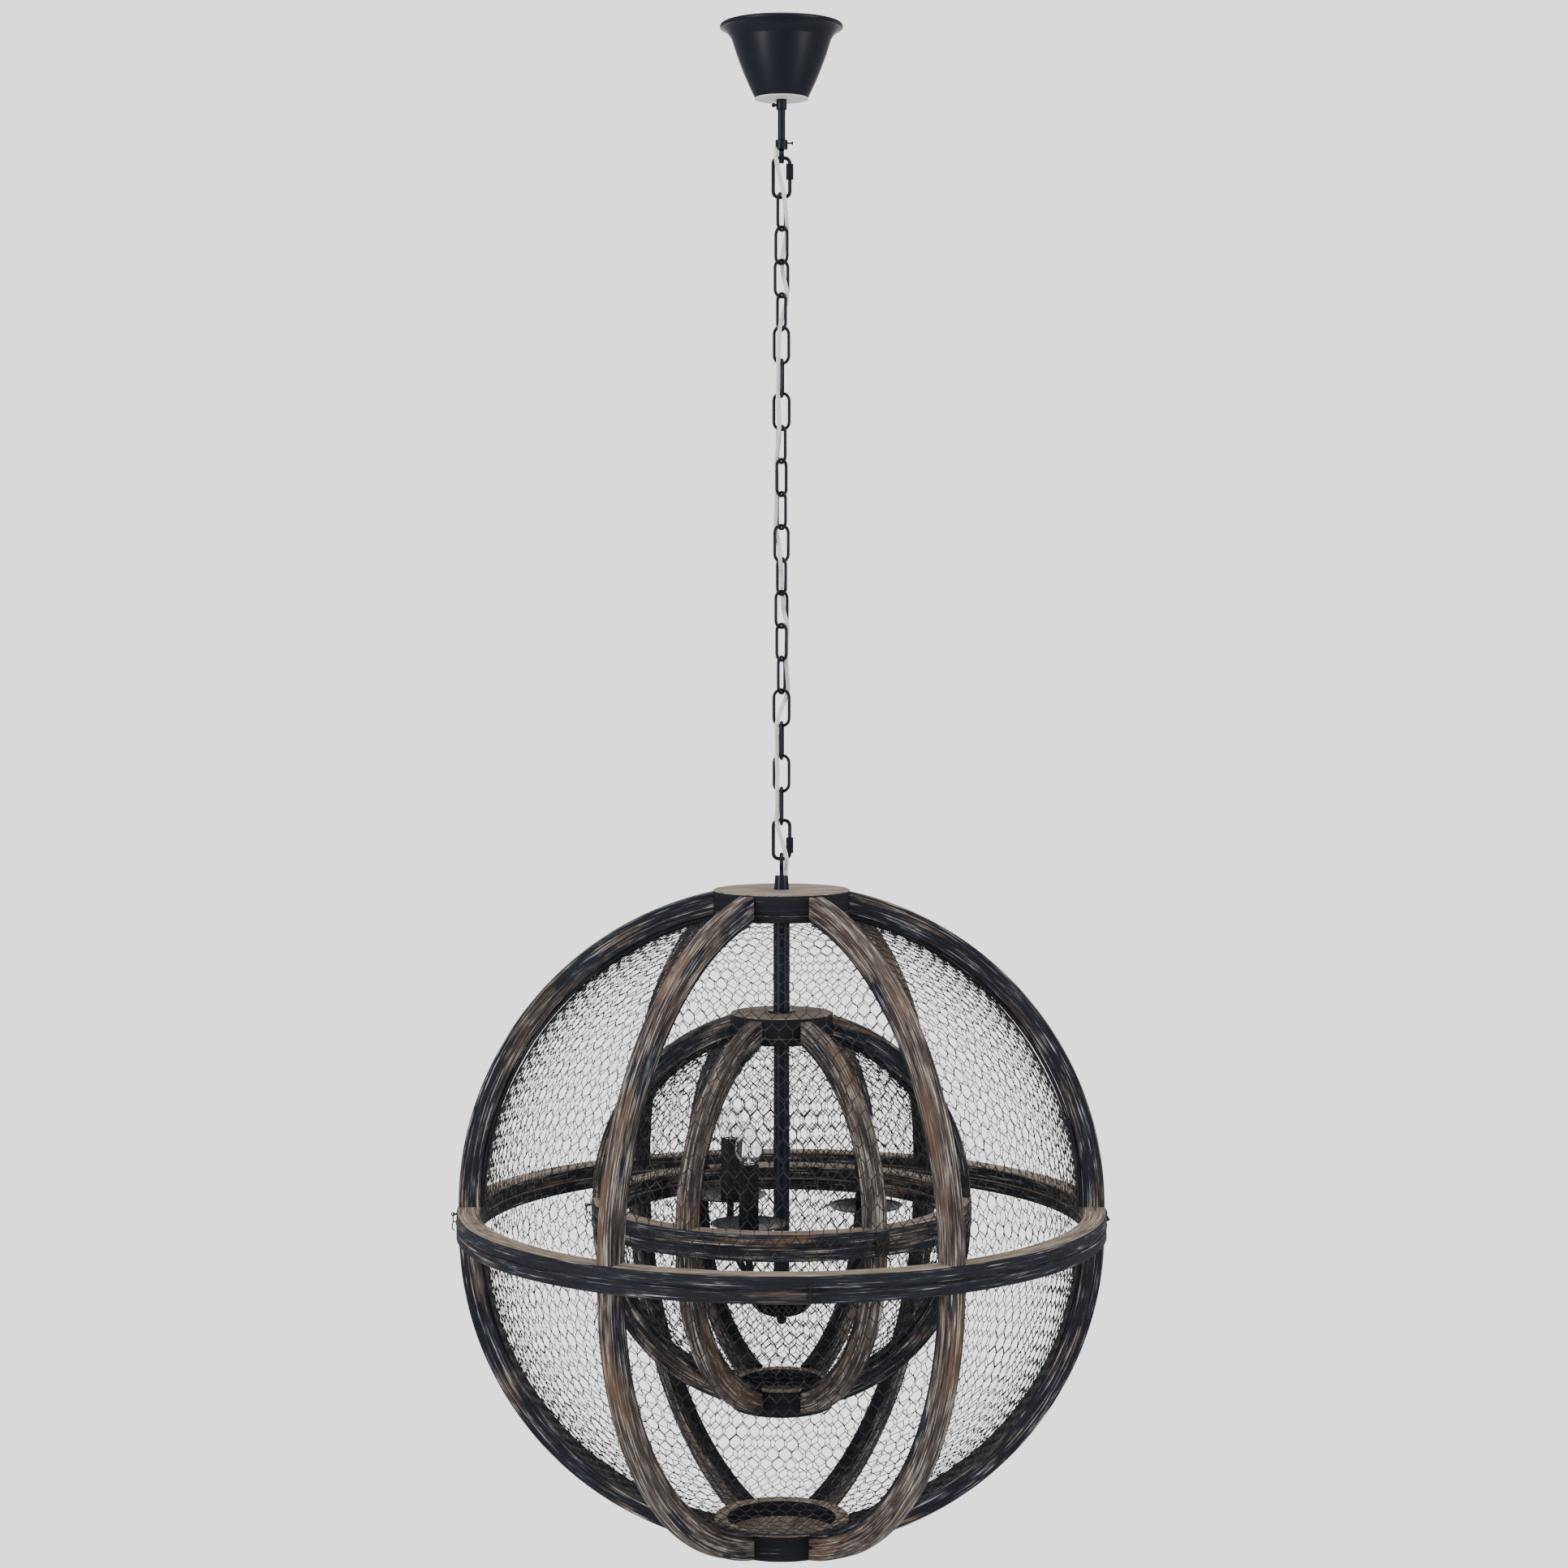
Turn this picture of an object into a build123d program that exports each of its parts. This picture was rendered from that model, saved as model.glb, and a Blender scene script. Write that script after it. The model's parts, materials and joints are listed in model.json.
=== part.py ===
from build123d import *
import math
import os

# Orb chandelier: two wood and wire-net orbs, one inside the other, hung from a
# ceiling canopy on a welded chain. Millimetres, +Z up, and the ceiling plane is
# z = 0 on the stem's axis. -Y is the front. Angles are in degrees about +Z from +X.

os.makedirs("parts", exist_ok=True)

# ------------------------------------------------------------ clearances
link_gap = 0.3        # between two loops that hang in each other
run_clear = 0.05      # radial, a screw or pipe in its bore
slide_clear = 0.2     # radial, a sleeve or collar that slides by hand
half_gap = 0.3        # between the upper and lower half of an orb

# ------------------------------------------------------------ canopy
canopy_rim_r = 59.0
canopy_lip = 4.6           # height of the rolled lip
canopy_neck_r = 47.4       # where the flare meets the cone
canopy_neck_depth = 15.0
canopy_end_r = 25.4
canopy_depth = 69.9
canopy_bulge = 1.5         # how far the cone's side bows out
canopy_flare = (2.9, 4.9)  # a point of the flare: out from the neck, and up from it
canopy_wall = 1.0
end_disc_thick = 1.2
collar_r = 5.1
collar_height = 9.8
collar_screw_drop = 5.4    # screw axis below the collar's top
collar_screw_r = 1.25
ball_head_r = 2.1
ball_neck_length = 2.4

# ------------------------------------------------------------ ceiling fixings
crossbar_length = 100.0
crossbar_width = 22.0
crossbar_thick = 2.0
crossbar_drop = 10.0       # the middle hangs this far below the ceiling
crossbar_flat = 26.0       # length of each flat end
crossbar_middle = 34.0     # length of the dropped middle
slot_spacing = 79.4
slot_length = 14.0
slot_r = 2.25
nut_across_flats = 12.0
nut_thick = 3.5

# ------------------------------------------------------------ stem
stem_r = 3.65
stem_bore_r = 2.5
stem_shown = 28.6          # pipe seen between the two collars
end_collar_r = 5.95
end_collar_height = 9.1
end_collar_socket = 5.5    # depth of the pipe in the collar
end_screw_drop = 2.9
end_screw_r = 0.8
end_screw_reach = 9.0      # from the axis to the root of the head
end_screw_head_r = 2.2
end_screw_head_length = 2.2
cord_slot_r = 3.2
cord_slot_place = (-5.2, -0.9)
cord_slot_depth = 2.8
loop_bore_r = 3.55
loop_wall = 3.2
loop_width = 5.0
loop_neck = 2.9            # metal left between the collar and the loop's hole
loop_stud_r = 1.9
loop_stud_length = 2.2

# ------------------------------------------------------------ chain
quick_wire = 3.6
quick_length = 41.0
quick_width = 19.5
quick_corner_r = 5.5       # of the wire's centre line
sleeve_flats = 6.2
sleeve_length = 15.0
sleeve_end = 7.5           # from the link's end to the sleeve
mouth_margin = 3.5         # the sleeve covers the mouth by this at each end
chain_runs = [3, 2, 2, 3, 2, 2, 3, 2]    # links in each length of chain
link_wire = 3.1
link_length = 38.2
link_width = 17.8
link_twists = [61, -42, 33, -58, 18, -80, 0, -61, 52, -58, 28, -57, 42, -51, 65, -5, 82, -11, 85]
eye_wire = 4.0
eye_outer_r = 9.5
eye_neck = 22.35           # from the eye's top to the cone's top
eye_stud_length = 8.0
cone_top_r = 6.3
cone_base_r = 7.35
cone_height = 13.5

# ------------------------------------------------------------ orbs
rib_azimuths = [0, 60, 120, 180, 240, 300]
hub_bore_r = 4.0
hub_groove = 0.5
rib_inset = 1.0            # the ribs stand this far inside the rings' edge
net_thick = 0.6
net_strand = 3.6           # metal left between two gaps of the net
net_cell_shape = 1.05      # a net strip's height over the width of its cells, about
net_bands = 5
net_panels = 12
net_mitre = 16.0           # slant of a strip's edges, so that two strips meet at a crease
batten_width = 14.0        # of the strips that clamp the net under the ribs

outer_ring_r = 316.0
outer_ring_width = 22.5
outer_ring_thick = 12.35
outer_rib_depth = 21.5
outer_rib_width = 16.0
outer_batten_depth = 3.9
outer_hub_r = 66.5
outer_hub_thick = 27.0
outer_hub_seam = 19.7      # the upper layer's thickness
outer_hub_proud = 2.1      # the hub's top stands this far above the ribs' ends
outer_tray_r = 53.5
outer_tray_floor = 8.0
outer_bottom_proud = 0.1   # the bottom hub reaches this far below the ribs' ends
outer_bottom_thick = 25.0

inner_ring_r = 185.5
inner_ring_width = 21.0
inner_ring_thick = 12.55
inner_rib_depth = 20.0
inner_rib_width = 15.0
inner_batten_depth = 3.5
inner_hub_r = 50.0
inner_hub_thick = 26.9
inner_hub_seam = 19.5
inner_hub_proud = 3.1
inner_tray_r = 40.0
inner_tray_floor = 8.0
inner_bottom_proud = 3.4
inner_bottom_thick = 25.8
tray_hole_r = 3.5

rod_r = 8.0
rod_length = 93.0          # from the outer hub down to the inner hub
rod_flange_r = 13.0
rod_flange_thick = 2.0

# ------------------------------------------------------------ hinges and hooks
leaf_thick = 1.15
leaf_width = 14.0
outer_leaf_height = 9.0
inner_leaf_height = 11.0
knuckle_r = 1.4
inner_hinge_azimuth = 300
leaf_screw_r = 1.6
leaf_screw_thick = 0.6
leaf_screw_spread = 4.1    # from the leaf's middle line, sideways
leaf_screw_share = 0.66    # of the leaf's height, from the seam
pin_r = 0.5
hook_wire = 1.2
hook_drop = 8.0            # from the pivot eye to the catch eye
hook_tail = 8.5
hook_tail_bow = 1.2        # how far the tail swings out and back
hook_tip = 3.6
hook_ring_r = 1.5          # centre line of the hook's own ring
eye_ring_r = 2.1           # centre line of a screw eye's ring
eye_stand_off = 0.1        # between the pivot eye's ring and the wood
outer_hook_azimuths = [180, 274.5]
inner_hook_azimuth = 180

# ------------------------------------------------------------ candle cluster
candle_azimuths = [8, 128, 248]
candle_circle_r = 83.0
candle_stem_r = 7.8
candle_stem_wall = 1.2
candle_stem_length = 239.6
arm_r = 3.5
arm_bend_r = 52.0
arm_socket = 3.0           # depth of an arm in the hub
arm_level = 6.0            # arm axis below the stem's end
pan_rise = 76.15           # from the arm's axis to the pan
turned_hub_r = 14.0
turned_hub_height = 12.0
turned_hub_round = 4.0     # how far its side bows out
bowl_r = 33.0
bowl_depth = 18.5
bowl_flutes = 16
bowl_flute_r = 3.4
bowl_flute_lean = 40.0
bowl_flute_bite = 0.7      # share of the flute's radius that cuts into the rim
bowl_belly = 0.74          # share of the radius and depth where the bowl's side bows out
finial_r = 5.0
finial_neck_r = 2.2
finial_drop = 5.2          # from the bowl to the ball's centre
pan_r = 36.5
pan_flat_r = 18.25         # the flat floor of the pan
pan_lip = 3.0              # width of the steeper lip
pan_depth = 5.0
pan_lip_depth = 2.25       # height of the steeper lip
pan_wall = 1.2
sleeve_r = 9.5
sleeve_bore_r = 8.3
candle_height = 60.0
socket_r = 7.0
socket_height = 52.0
socket_bore_r = 5.6
bulb_r = 13.0
bulb_neck_r = 5.4
bulb_base_length = 14.0
bulb_height = 36.0
bulb_belly = 0.38          # share of the glass's height where it is widest

# ------------------------------------------------------------ supply cord
cord_r = 2.05
cord_route = [
    (-4.7, -0.1, -116.7), (-5.2, -3.9, -124.5), (-5.0, -5.3, -131), (-1.1, -4.8, -147),
    (2.6, -4.7, -162.3), (4.1, -1.9, -178.2), (5.8, 0.8, -194), (2.3, 3.6, -209.8),
    (-0.2, 5.7, -225.7), (2.5, 1.8, -241.6), (6.4, -1.5, -257.4), (1.9, -2.5, -273.2),
    (-2.0, -5.0, -289.1), (-2.7, -4.8, -305), (-3.2, -5.4, -320.8), (-2.9, -4.0, -336.6),
    (-3.6, -4.0, -352.5), (-2.5, -3.9, -368.4), (-2.1, -4.5, -384.2), (-2.8, -1.6, -400),
    (-5.3, 0.8, -415.9), (-4.6, 0.3, -431.8), (-4.8, 0.1, -447.6), (-5.3, 1.3, -463.4),
    (-6.1, 2.0, -479.3), (-2.4, -1.8, -495.2), (-1.3, -6.7, -511), (0.2, 0.5, -526.8),
    (0.8, 7.6, -542.7), (1.7, 2.5, -558.6), (6.1, -0.9, -574.4), (4.9, -0.7, -590.2),
    (4.3, 0.5, -606.1), (5.6, 2.2, -622), (6.9, 4.3, -637.8), (-0.2, 0.3, -653.6),
    (-5.4, -4.3, -669.5), (-4.2, -3.6, -685.4), (-4.6, -3.2, -701.2), (-3.8, -2.6, -717.1),
    (-4.4, -3.2, -732.9), (-3.9, -3.5, -748.8), (-5.2, -4.4, -764.6), (0.2, -4.0, -782),
    (5.2, -4.7, -797.5), (4.6, -2.8, -808.5), (4.1, -1.0, -815.3)]

# ------------------------------------------------------------ sizes worked out from the others
outer_rib_r = outer_ring_r - rib_inset
inner_rib_r = inner_ring_r - rib_inset
outer_rib_rise = math.sqrt(outer_rib_r ** 2 - outer_hub_r ** 2)
inner_rib_rise = math.sqrt(inner_rib_r ** 2 - inner_hub_r ** 2)
outer_hub_rise = outer_rib_rise + outer_hub_proud
inner_hub_rise = inner_rib_rise + inner_hub_proud
outer_bottom_drop = outer_rib_rise + outer_bottom_proud
inner_bottom_drop = inner_rib_rise + inner_bottom_proud

end_disc_z = -canopy_depth
collar_z = end_disc_z - end_disc_thick
end_collar_z = collar_z - collar_height - stem_shown
loop_z = end_collar_z - end_collar_height
loop_centre_z = loop_z - loop_neck - loop_bore_r
loop_seat_z = loop_centre_z - loop_bore_r
upper_quick_z = loop_seat_z + link_gap + quick_wire
link_pitch = link_length - 2 * link_wire - link_gap
first_link_z = upper_quick_z - quick_length + quick_wire + link_gap + link_wire
last_link_z = first_link_z - (sum(chain_runs) - 1) * link_pitch
lower_quick_z = last_link_z - link_length + link_wire + link_gap + quick_wire
eye_z = lower_quick_z - quick_length + quick_wire + link_gap + eye_wire
cone_z = eye_z - eye_neck
outer_hub_z = cone_z - cone_height
outer_ring_z = outer_hub_z - outer_hub_rise
outer_seam_z = outer_ring_z - outer_ring_thick - half_gap / 2
outer_under_z = outer_seam_z - half_gap / 2 - outer_ring_thick
inner_hub_z = outer_hub_z - outer_hub_thick - rod_length
inner_ring_z = inner_hub_z - inner_hub_rise
inner_seam_z = inner_ring_z - inner_ring_thick - half_gap / 2
inner_under_z = inner_seam_z - half_gap / 2 - inner_ring_thick
stem_end_z = inner_hub_z - inner_hub_thick - candle_stem_length


# ------------------------------------------------------------ helpers
def save(node, *pieces):
    """Write one node, as one solid or as a group of separate solids."""
    solids = [solid for piece in pieces for solid in piece.solids()]
    shape = solids[0] if len(solids) == 1 else Compound(children=solids)
    shape.label = node
    export_step(shape, "parts/" + node + ".step")


def rod(radius, top, length):
    """An upright cylinder that hangs down from its top."""
    return Pos(0, 0, top - length / 2) * Cylinder(radius, length)


def pipe(radius, bore, top, length):
    """An upright pipe that hangs down from its top."""
    return rod(radius, top, length) - rod(bore, top + 1, length + 2)


def turned(points):
    """A solid of revolution about Z from (radius, height) corners."""
    with BuildSketch(Plane.XZ) as section:
        with BuildLine():
            Polyline(*points, close=True)
        make_face()
    return revolve(section.sketch, Axis.Z)


def at_azimuth(piece, azimuth):
    """Turn a piece that was made on +X to its place round the axis."""
    return Rot(0, 0, azimuth) * piece


def torus(ring_r, wire_r, plane):
    """A closed wire ring whose axis is the plane's normal."""
    return plane * Torus(ring_r, wire_r)


def wire_loop(length, width, wire, corner_r):
    """A closed link of round wire in the XZ plane, centred on the origin."""
    half_w = (width - wire) / 2
    half_l = (length - wire) / 2
    side = half_l - corner_r
    top = half_w - corner_r
    round_wire = Circle(wire / 2)
    pieces = []
    for sign in (-1, 1):
        pieces.append(Pos(sign * half_w, 0, 0) * Cylinder(wire / 2, 2 * side))
        if top > 0:
            bar = Rot(0, 90, 0) * Cylinder(wire / 2, 2 * top)
            pieces.append(Pos(0, 0, sign * half_l) * bar)
    for x_sign in (-1, 1):
        for z_sign in (-1, 1):
            section = Pos(x_sign * half_w, 0, z_sign * side) * round_wire
            centre = Axis((x_sign * top, 0, z_sign * side), (0, 1, 0))
            pieces.append(revolve(section, centre, -90 * x_sign * z_sign))
    return pieces[0].fuse(*pieces[1:])


# ------------------------------------------------------------ ceiling fixings and canopy
def crossbar():
    """Bent steel strap: flat ends on the ceiling, dropped middle for the stem."""
    half = crossbar_length / 2
    knee = half - crossbar_flat
    toe = crossbar_middle / 2
    upper = [(-half, 0), (-knee, 0), (-toe, -crossbar_drop), (toe, -crossbar_drop), (knee, 0), (half, 0)]
    lower = [(x, z - crossbar_thick) for x, z in reversed(upper)]
    with BuildSketch(Plane.XZ) as side:
        with BuildLine():
            Polyline(*upper, *lower, close=True)
        make_face()
    strap = extrude(side.sketch, crossbar_width / 2, both=True)
    for sign in (-1, 1):
        slot = extrude(SlotOverall(slot_length, 2 * slot_r), crossbar_thick, both=True)
        strap -= Pos(sign * slot_spacing / 2, 0, 0) * slot
    return strap - rod(stem_r + run_clear, 0, crossbar_drop + 2 * crossbar_thick)


def canopy_profile(inset):
    """Half section of the canopy: rolled lip, flare and slightly bowed cone."""
    lip_r = canopy_rim_r - canopy_lip / 2
    neck_r = canopy_neck_r - inset
    end_r = canopy_end_r - inset
    bow = ((neck_r + end_r) / 2 + canopy_bulge, -(canopy_neck_depth + canopy_depth) / 2)
    flare = (neck_r + canopy_flare[0], -canopy_neck_depth + canopy_flare[1])
    with BuildSketch(Plane.XZ) as half:
        with BuildLine():
            if inset:
                rim = Line((lip_r - inset, 0), (lip_r - inset, -canopy_lip))
            else:
                middle = (canopy_rim_r, -canopy_lip / 2)
                rim = ThreePointArc((lip_r, 0), middle, (lip_r, -canopy_lip))
            curve = ThreePointArc(rim @ 1, flare, (neck_r, -canopy_neck_depth))
            cone = ThreePointArc(curve @ 1, bow, (end_r, -canopy_depth))
            Polyline(cone @ 1, (0, -canopy_depth), (0, 0), rim @ 0)
        make_face()
    return revolve(half.sketch, Axis.Z)


nut = extrude(RegularPolygon(nut_across_flats / 2, 6, major_radius=False), nut_thick)
nut -= rod(stem_r + run_clear, nut_thick + 1, nut_thick + 2)
stem_top = -crossbar_drop + nut_thick + 2
stem_bottom = end_collar_z - end_collar_socket

save("ceiling_crossbar", crossbar())
save("stem_locknuts",
     Pos(0, 0, -crossbar_drop) * nut,
     Pos(0, 0, -crossbar_drop - crossbar_thick - nut_thick) * nut)
save("stem_pipe", pipe(stem_r, stem_bore_r, stem_top, stem_top - stem_bottom))
save("canopy", canopy_profile(0) - canopy_profile(canopy_wall))
save("canopy_end_disc",
     pipe(canopy_end_r, stem_r + slide_clear, end_disc_z, end_disc_thick))

# the collar's ball-headed screw points to -X
screw_z = collar_z - collar_screw_drop
screw_hole = Pos(-collar_r, 0, screw_z) * Rot(0, 90, 0) * Cylinder(collar_screw_r + run_clear, collar_r)
collar = pipe(collar_r, stem_r + slide_clear, collar_z, collar_height)
collar = chamfer(collar.edges().filter_by(GeomType.CIRCLE).group_by(SortBy.RADIUS)[-1], 0.5)
save("canopy_collar", collar - screw_hole)

screw_start = stem_r + slide_clear
screw_length = collar_r + ball_neck_length - screw_start
ball_screw = Pos(-screw_start - screw_length / 2, 0, screw_z) * Rot(0, 90, 0) * Cylinder(
    collar_screw_r, screw_length)
ball_screw += Pos(-collar_r - ball_neck_length, 0, screw_z) * Sphere(ball_head_r)
save("canopy_thumbscrew", ball_screw)


# ------------------------------------------------------------ end collar, its screw and the hanging loop
def end_collar():
    """Collar on the pipe's end, with the cord's slot in its lower left edge."""
    body = rod(end_collar_r, end_collar_z, end_collar_height)
    body = chamfer(body.edges().filter_by(GeomType.CIRCLE), 0.6)
    body -= rod(stem_r + run_clear, end_collar_z + 1, end_collar_socket + 1)
    body -= rod(loop_stud_r + run_clear, loop_z + loop_stud_length, loop_stud_length + 1)
    body -= Pos(*cord_slot_place) * rod(cord_slot_r, loop_z + cord_slot_depth, cord_slot_depth + 1)
    bore = Rot(0, 90, 0) * Cylinder(end_screw_r + run_clear, end_collar_r)
    return body - Pos(end_collar_r, 0, end_collar_z - end_screw_drop) * bore


def end_thumbscrew():
    """Thin shank with a head that flares outwards."""
    start = stem_r + slide_clear
    shank = Cylinder(end_screw_r, end_screw_reach - start)
    head = Cone(end_screw_r, end_screw_head_r, end_screw_head_length)
    screw = Pos(0, 0, (start + end_screw_reach) / 2) * shank
    screw += Pos(0, 0, end_screw_reach + end_screw_head_length / 2) * head
    return Pos(0, 0, end_collar_z - end_screw_drop) * Rot(0, 90, 0) * screw


def hanging_loop():
    """Thick ring in the YZ plane, flat under the collar, with a stud into it."""
    ring = Circle(loop_bore_r + loop_wall) - Circle(loop_bore_r)
    ring = extrude(ring, loop_width / 2, both=True)
    ring = fillet(ring.edges().filter_by(GeomType.CIRCLE), 0.8)
    ring = Pos(0, 0, loop_centre_z) * Rot(0, 90, 0) * ring
    ring -= Pos(0, 0, loop_z + loop_wall) * Box(4 * end_collar_r, 4 * end_collar_r, 2 * loop_wall)
    return ring + rod(loop_stud_r, loop_z + loop_stud_length, loop_stud_length + loop_neck / 2)


save("stem_end_collar", end_collar())
save("stem_end_thumbscrew", end_thumbscrew())
save("hanging_loop", hanging_loop())


# ------------------------------------------------------------ quick links and chain
def quick_link(top, sleeve_at_top):
    """Oval wire link with a mouth in its right side, and the sleeve that closes it."""
    centre = top - quick_length / 2
    side_x = (quick_width - quick_wire) / 2
    reach = quick_length / 2 - sleeve_end - sleeve_length / 2
    sleeve_z = centre + (reach if sleeve_at_top else -reach)
    mouth = Box(2 * quick_wire, 2 * quick_wire, sleeve_length - 2 * mouth_margin)
    link = wire_loop(quick_length, quick_width, quick_wire, quick_corner_r)
    link = Pos(0, 0, centre) * link - Pos(side_x, 0, sleeve_z) * mouth
    sleeve = extrude(RegularPolygon(sleeve_flats / 2, 6, major_radius=False), sleeve_length / 2, both=True)
    sleeve -= Cylinder(quick_wire / 2 + slide_clear, 2 * sleeve_length)
    return link, Pos(side_x, 0, sleeve_z) * sleeve


upper_quick, upper_sleeve = quick_link(upper_quick_z, True)
lower_quick, lower_sleeve = quick_link(lower_quick_z, False)
save("upper_quick_link", upper_quick)
save("upper_link_sleeve", upper_sleeve)
save("lower_quick_link", lower_quick)
save("lower_link_sleeve", lower_sleeve)

chain_link = wire_loop(link_length, link_width, link_wire, (link_width - link_wire) / 2)
links = []
for index, twist in enumerate(link_twists):
    centre = first_link_z - link_length / 2 - index * link_pitch
    links.append(Pos(0, 0, centre) * Rot(0, 0, twist) * chain_link)
for number, run in enumerate(chain_runs):
    start = sum(chain_runs[:number])
    save("chain_%02d" % (number + 1), *links[start:start + run])

# ------------------------------------------------------------ orb eye and cone
eye_ring_centre = eye_z - eye_outer_r
neck_top = eye_z - 2 * eye_outer_r + eye_wire / 2
eye = torus(eye_outer_r - eye_wire / 2, eye_wire / 2, Pos(0, 0, eye_ring_centre) * Rot(0, 90, 0))
eye += rod(eye_wire / 2, neck_top, neck_top - cone_z + eye_stud_length)
save("orb_eye", eye)
cone = turned([(0, cone_z), (cone_top_r, cone_z), (cone_base_r, outer_hub_z), (0, outer_hub_z)])
save("eye_cone", cone - rod(eye_wire / 2 + run_clear, cone_z + 1, eye_stud_length + 1))


# ------------------------------------------------------------ wooden frame of an orb
def top_hub(radius, top, thick, seam):
    """Two-layer disc with a fine groove between the layers and a wire bore."""
    low = top - thick
    line = top - seam
    return turned([
        (hub_bore_r, top), (radius, top), (radius, line + hub_groove), (radius - hub_groove, line),
        (radius, line - hub_groove), (radius, low), (hub_bore_r, low)])


def bottom_hub(radius, tray_r, floor, low, thick):
    """Ring with a recessed floor that has a small hole in its middle."""
    return turned([
        (tray_hole_r, low), (radius, low), (radius, low + thick), (tray_r, low + thick),
        (tray_r, low + floor), (tray_hole_r, low + floor)])


def flat_ring(radius, width, top, thick):
    return pipe(radius, radius - width, top, thick)


def quarter_bars(radius, depth, width, hub_r, ring_z, up):
    """Six quarter-circle bars from a ring to the side of a hub."""
    section = Circle(radius) - Circle(radius - depth)
    section &= Pos(radius / 2, radius / 2) * Rectangle(radius, radius)
    section -= Pos(hub_r / 2 - 1, radius / 2) * Rectangle(hub_r, 2 * radius)
    bar = Rot(90, 0, 0) * extrude(section, width / 2, both=True)
    bar -= Cylinder(hub_r, 2 * radius + 2)
    if not up:
        bar = bar.mirror(Plane.XY)
    return [Pos(0, 0, ring_z) * at_azimuth(bar, azimuth) for azimuth in rib_azimuths]


def net_plate(radius, low_angle, high_angle):
    """One flat strip of hexagon netting, on +X, between two heights of a dome."""
    half_turn = math.radians(180 / net_panels)
    low, high = math.radians(low_angle), math.radians(high_angle)
    low_r, high_r = radius * math.cos(low), radius * math.cos(high)
    low_half, high_half = low_r * math.sin(half_turn), high_r * math.sin(half_turn)
    foot = Vector(low_r * math.cos(half_turn), 0, radius * math.sin(low))
    head = Vector(high_r * math.cos(half_turn), 0, radius * math.sin(high))
    slope = head - foot
    height = slope.length
    outward = Vector(0, 1, 0).cross(slope.normalized())
    face = Plane(origin=(foot + head) * 0.5, x_dir=(0, 1, 0), z_dir=outward)
    outline = Polygon((-low_half, -height / 2), (low_half, -height / 2),
                      (high_half, height / 2), (-high_half, height / 2), align=None)
    plate = extrude(outline, -net_thick, taper=net_mitre)
    middle = low_half + high_half
    count = max(1, round(middle / height / net_cell_shape))
    tallest = (height - net_strand) * math.cos(math.radians(30))
    cell = min(middle / count, tallest + net_strand)
    gap = RegularPolygon((cell - net_strand) / 2, 6, major_radius=False, rotation=30)
    for index in range(count):
        across = (index - (count - 1) / 2) * middle / count
        plate -= Pos(across, 0) * extrude(gap, net_thick * 2, both=True)
    return face * plate


def net_dome(radius, rise, ring_z, up):
    """A dome of netting: flat strips round the axis, up to the face of the hub."""
    top_angle = math.degrees(math.asin(rise / radius))
    step = top_angle / net_bands
    plates = []
    for band in range(net_bands):
        plate = net_plate(radius, band * step, (band + 1) * step)
        if not up:
            plate = plate.mirror(Plane.XY)
        for panel in range(net_panels):
            turn = (panel + 0.5) * 360 / net_panels
            plates.append(Pos(0, 0, ring_z) * at_azimuth(plate, turn))
    return plates


def half_orb(name, ring_z, up, hub_face, rib_r, rib_depth, rib_width, batten_depth, hub_r):
    """Ribs, the battens under them, and the netting inside the battens."""
    bars = quarter_bars(rib_r, rib_depth, rib_width, hub_r, ring_z, up)
    battens = quarter_bars(rib_r - rib_depth, batten_depth, batten_width, hub_r, ring_z, up)
    save(name + "_ribs", *bars, *battens)
    net_r = rib_r - rib_depth - batten_depth
    save(name + "_net", *net_dome(net_r, hub_face, ring_z, up))


outer_sizes = (outer_rib_r, outer_rib_depth, outer_rib_width, outer_batten_depth, outer_hub_r)
inner_sizes = (inner_rib_r, inner_rib_depth, inner_rib_width, inner_batten_depth, inner_hub_r)
half_orb("outer_upper", outer_ring_z, True, outer_hub_rise - outer_hub_thick, *outer_sizes)
half_orb("outer_lower", outer_under_z, False, outer_bottom_drop - outer_bottom_thick, *outer_sizes)
half_orb("inner_upper", inner_ring_z, True, inner_hub_rise - inner_hub_thick, *inner_sizes)
half_orb("inner_lower", inner_under_z, False, inner_bottom_drop - inner_bottom_thick, *inner_sizes)

save("outer_top_hub", top_hub(outer_hub_r, outer_hub_z, outer_hub_thick, outer_hub_seam))
save("inner_top_hub", top_hub(inner_hub_r, inner_hub_z, inner_hub_thick, inner_hub_seam))
save("outer_bottom_hub", bottom_hub(
    outer_hub_r, outer_tray_r, outer_tray_floor, outer_under_z - outer_bottom_drop, outer_bottom_thick))
save("inner_bottom_hub", bottom_hub(
    inner_hub_r, inner_tray_r, inner_tray_floor, inner_under_z - inner_bottom_drop, inner_bottom_thick))
save("outer_upper_ring", flat_ring(outer_ring_r, outer_ring_width, outer_ring_z, outer_ring_thick))
save("outer_lower_ring",
     flat_ring(outer_ring_r, outer_ring_width, outer_under_z + outer_ring_thick, outer_ring_thick))
save("inner_upper_ring", flat_ring(inner_ring_r, inner_ring_width, inner_ring_z, inner_ring_thick))
save("inner_lower_ring",
     flat_ring(inner_ring_r, inner_ring_width, inner_under_z + inner_ring_thick, inner_ring_thick))

# down rod between the hubs, with a flange under each
down_rod = pipe(rod_r, hub_bore_r, inner_hub_z + rod_length, rod_length)
down_rod += pipe(rod_flange_r, hub_bore_r, inner_hub_z + rod_length, rod_flange_thick)
down_rod += pipe(rod_flange_r, hub_bore_r, inner_hub_z + rod_flange_thick, rod_flange_thick)
save("down_rod", down_rod)


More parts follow.
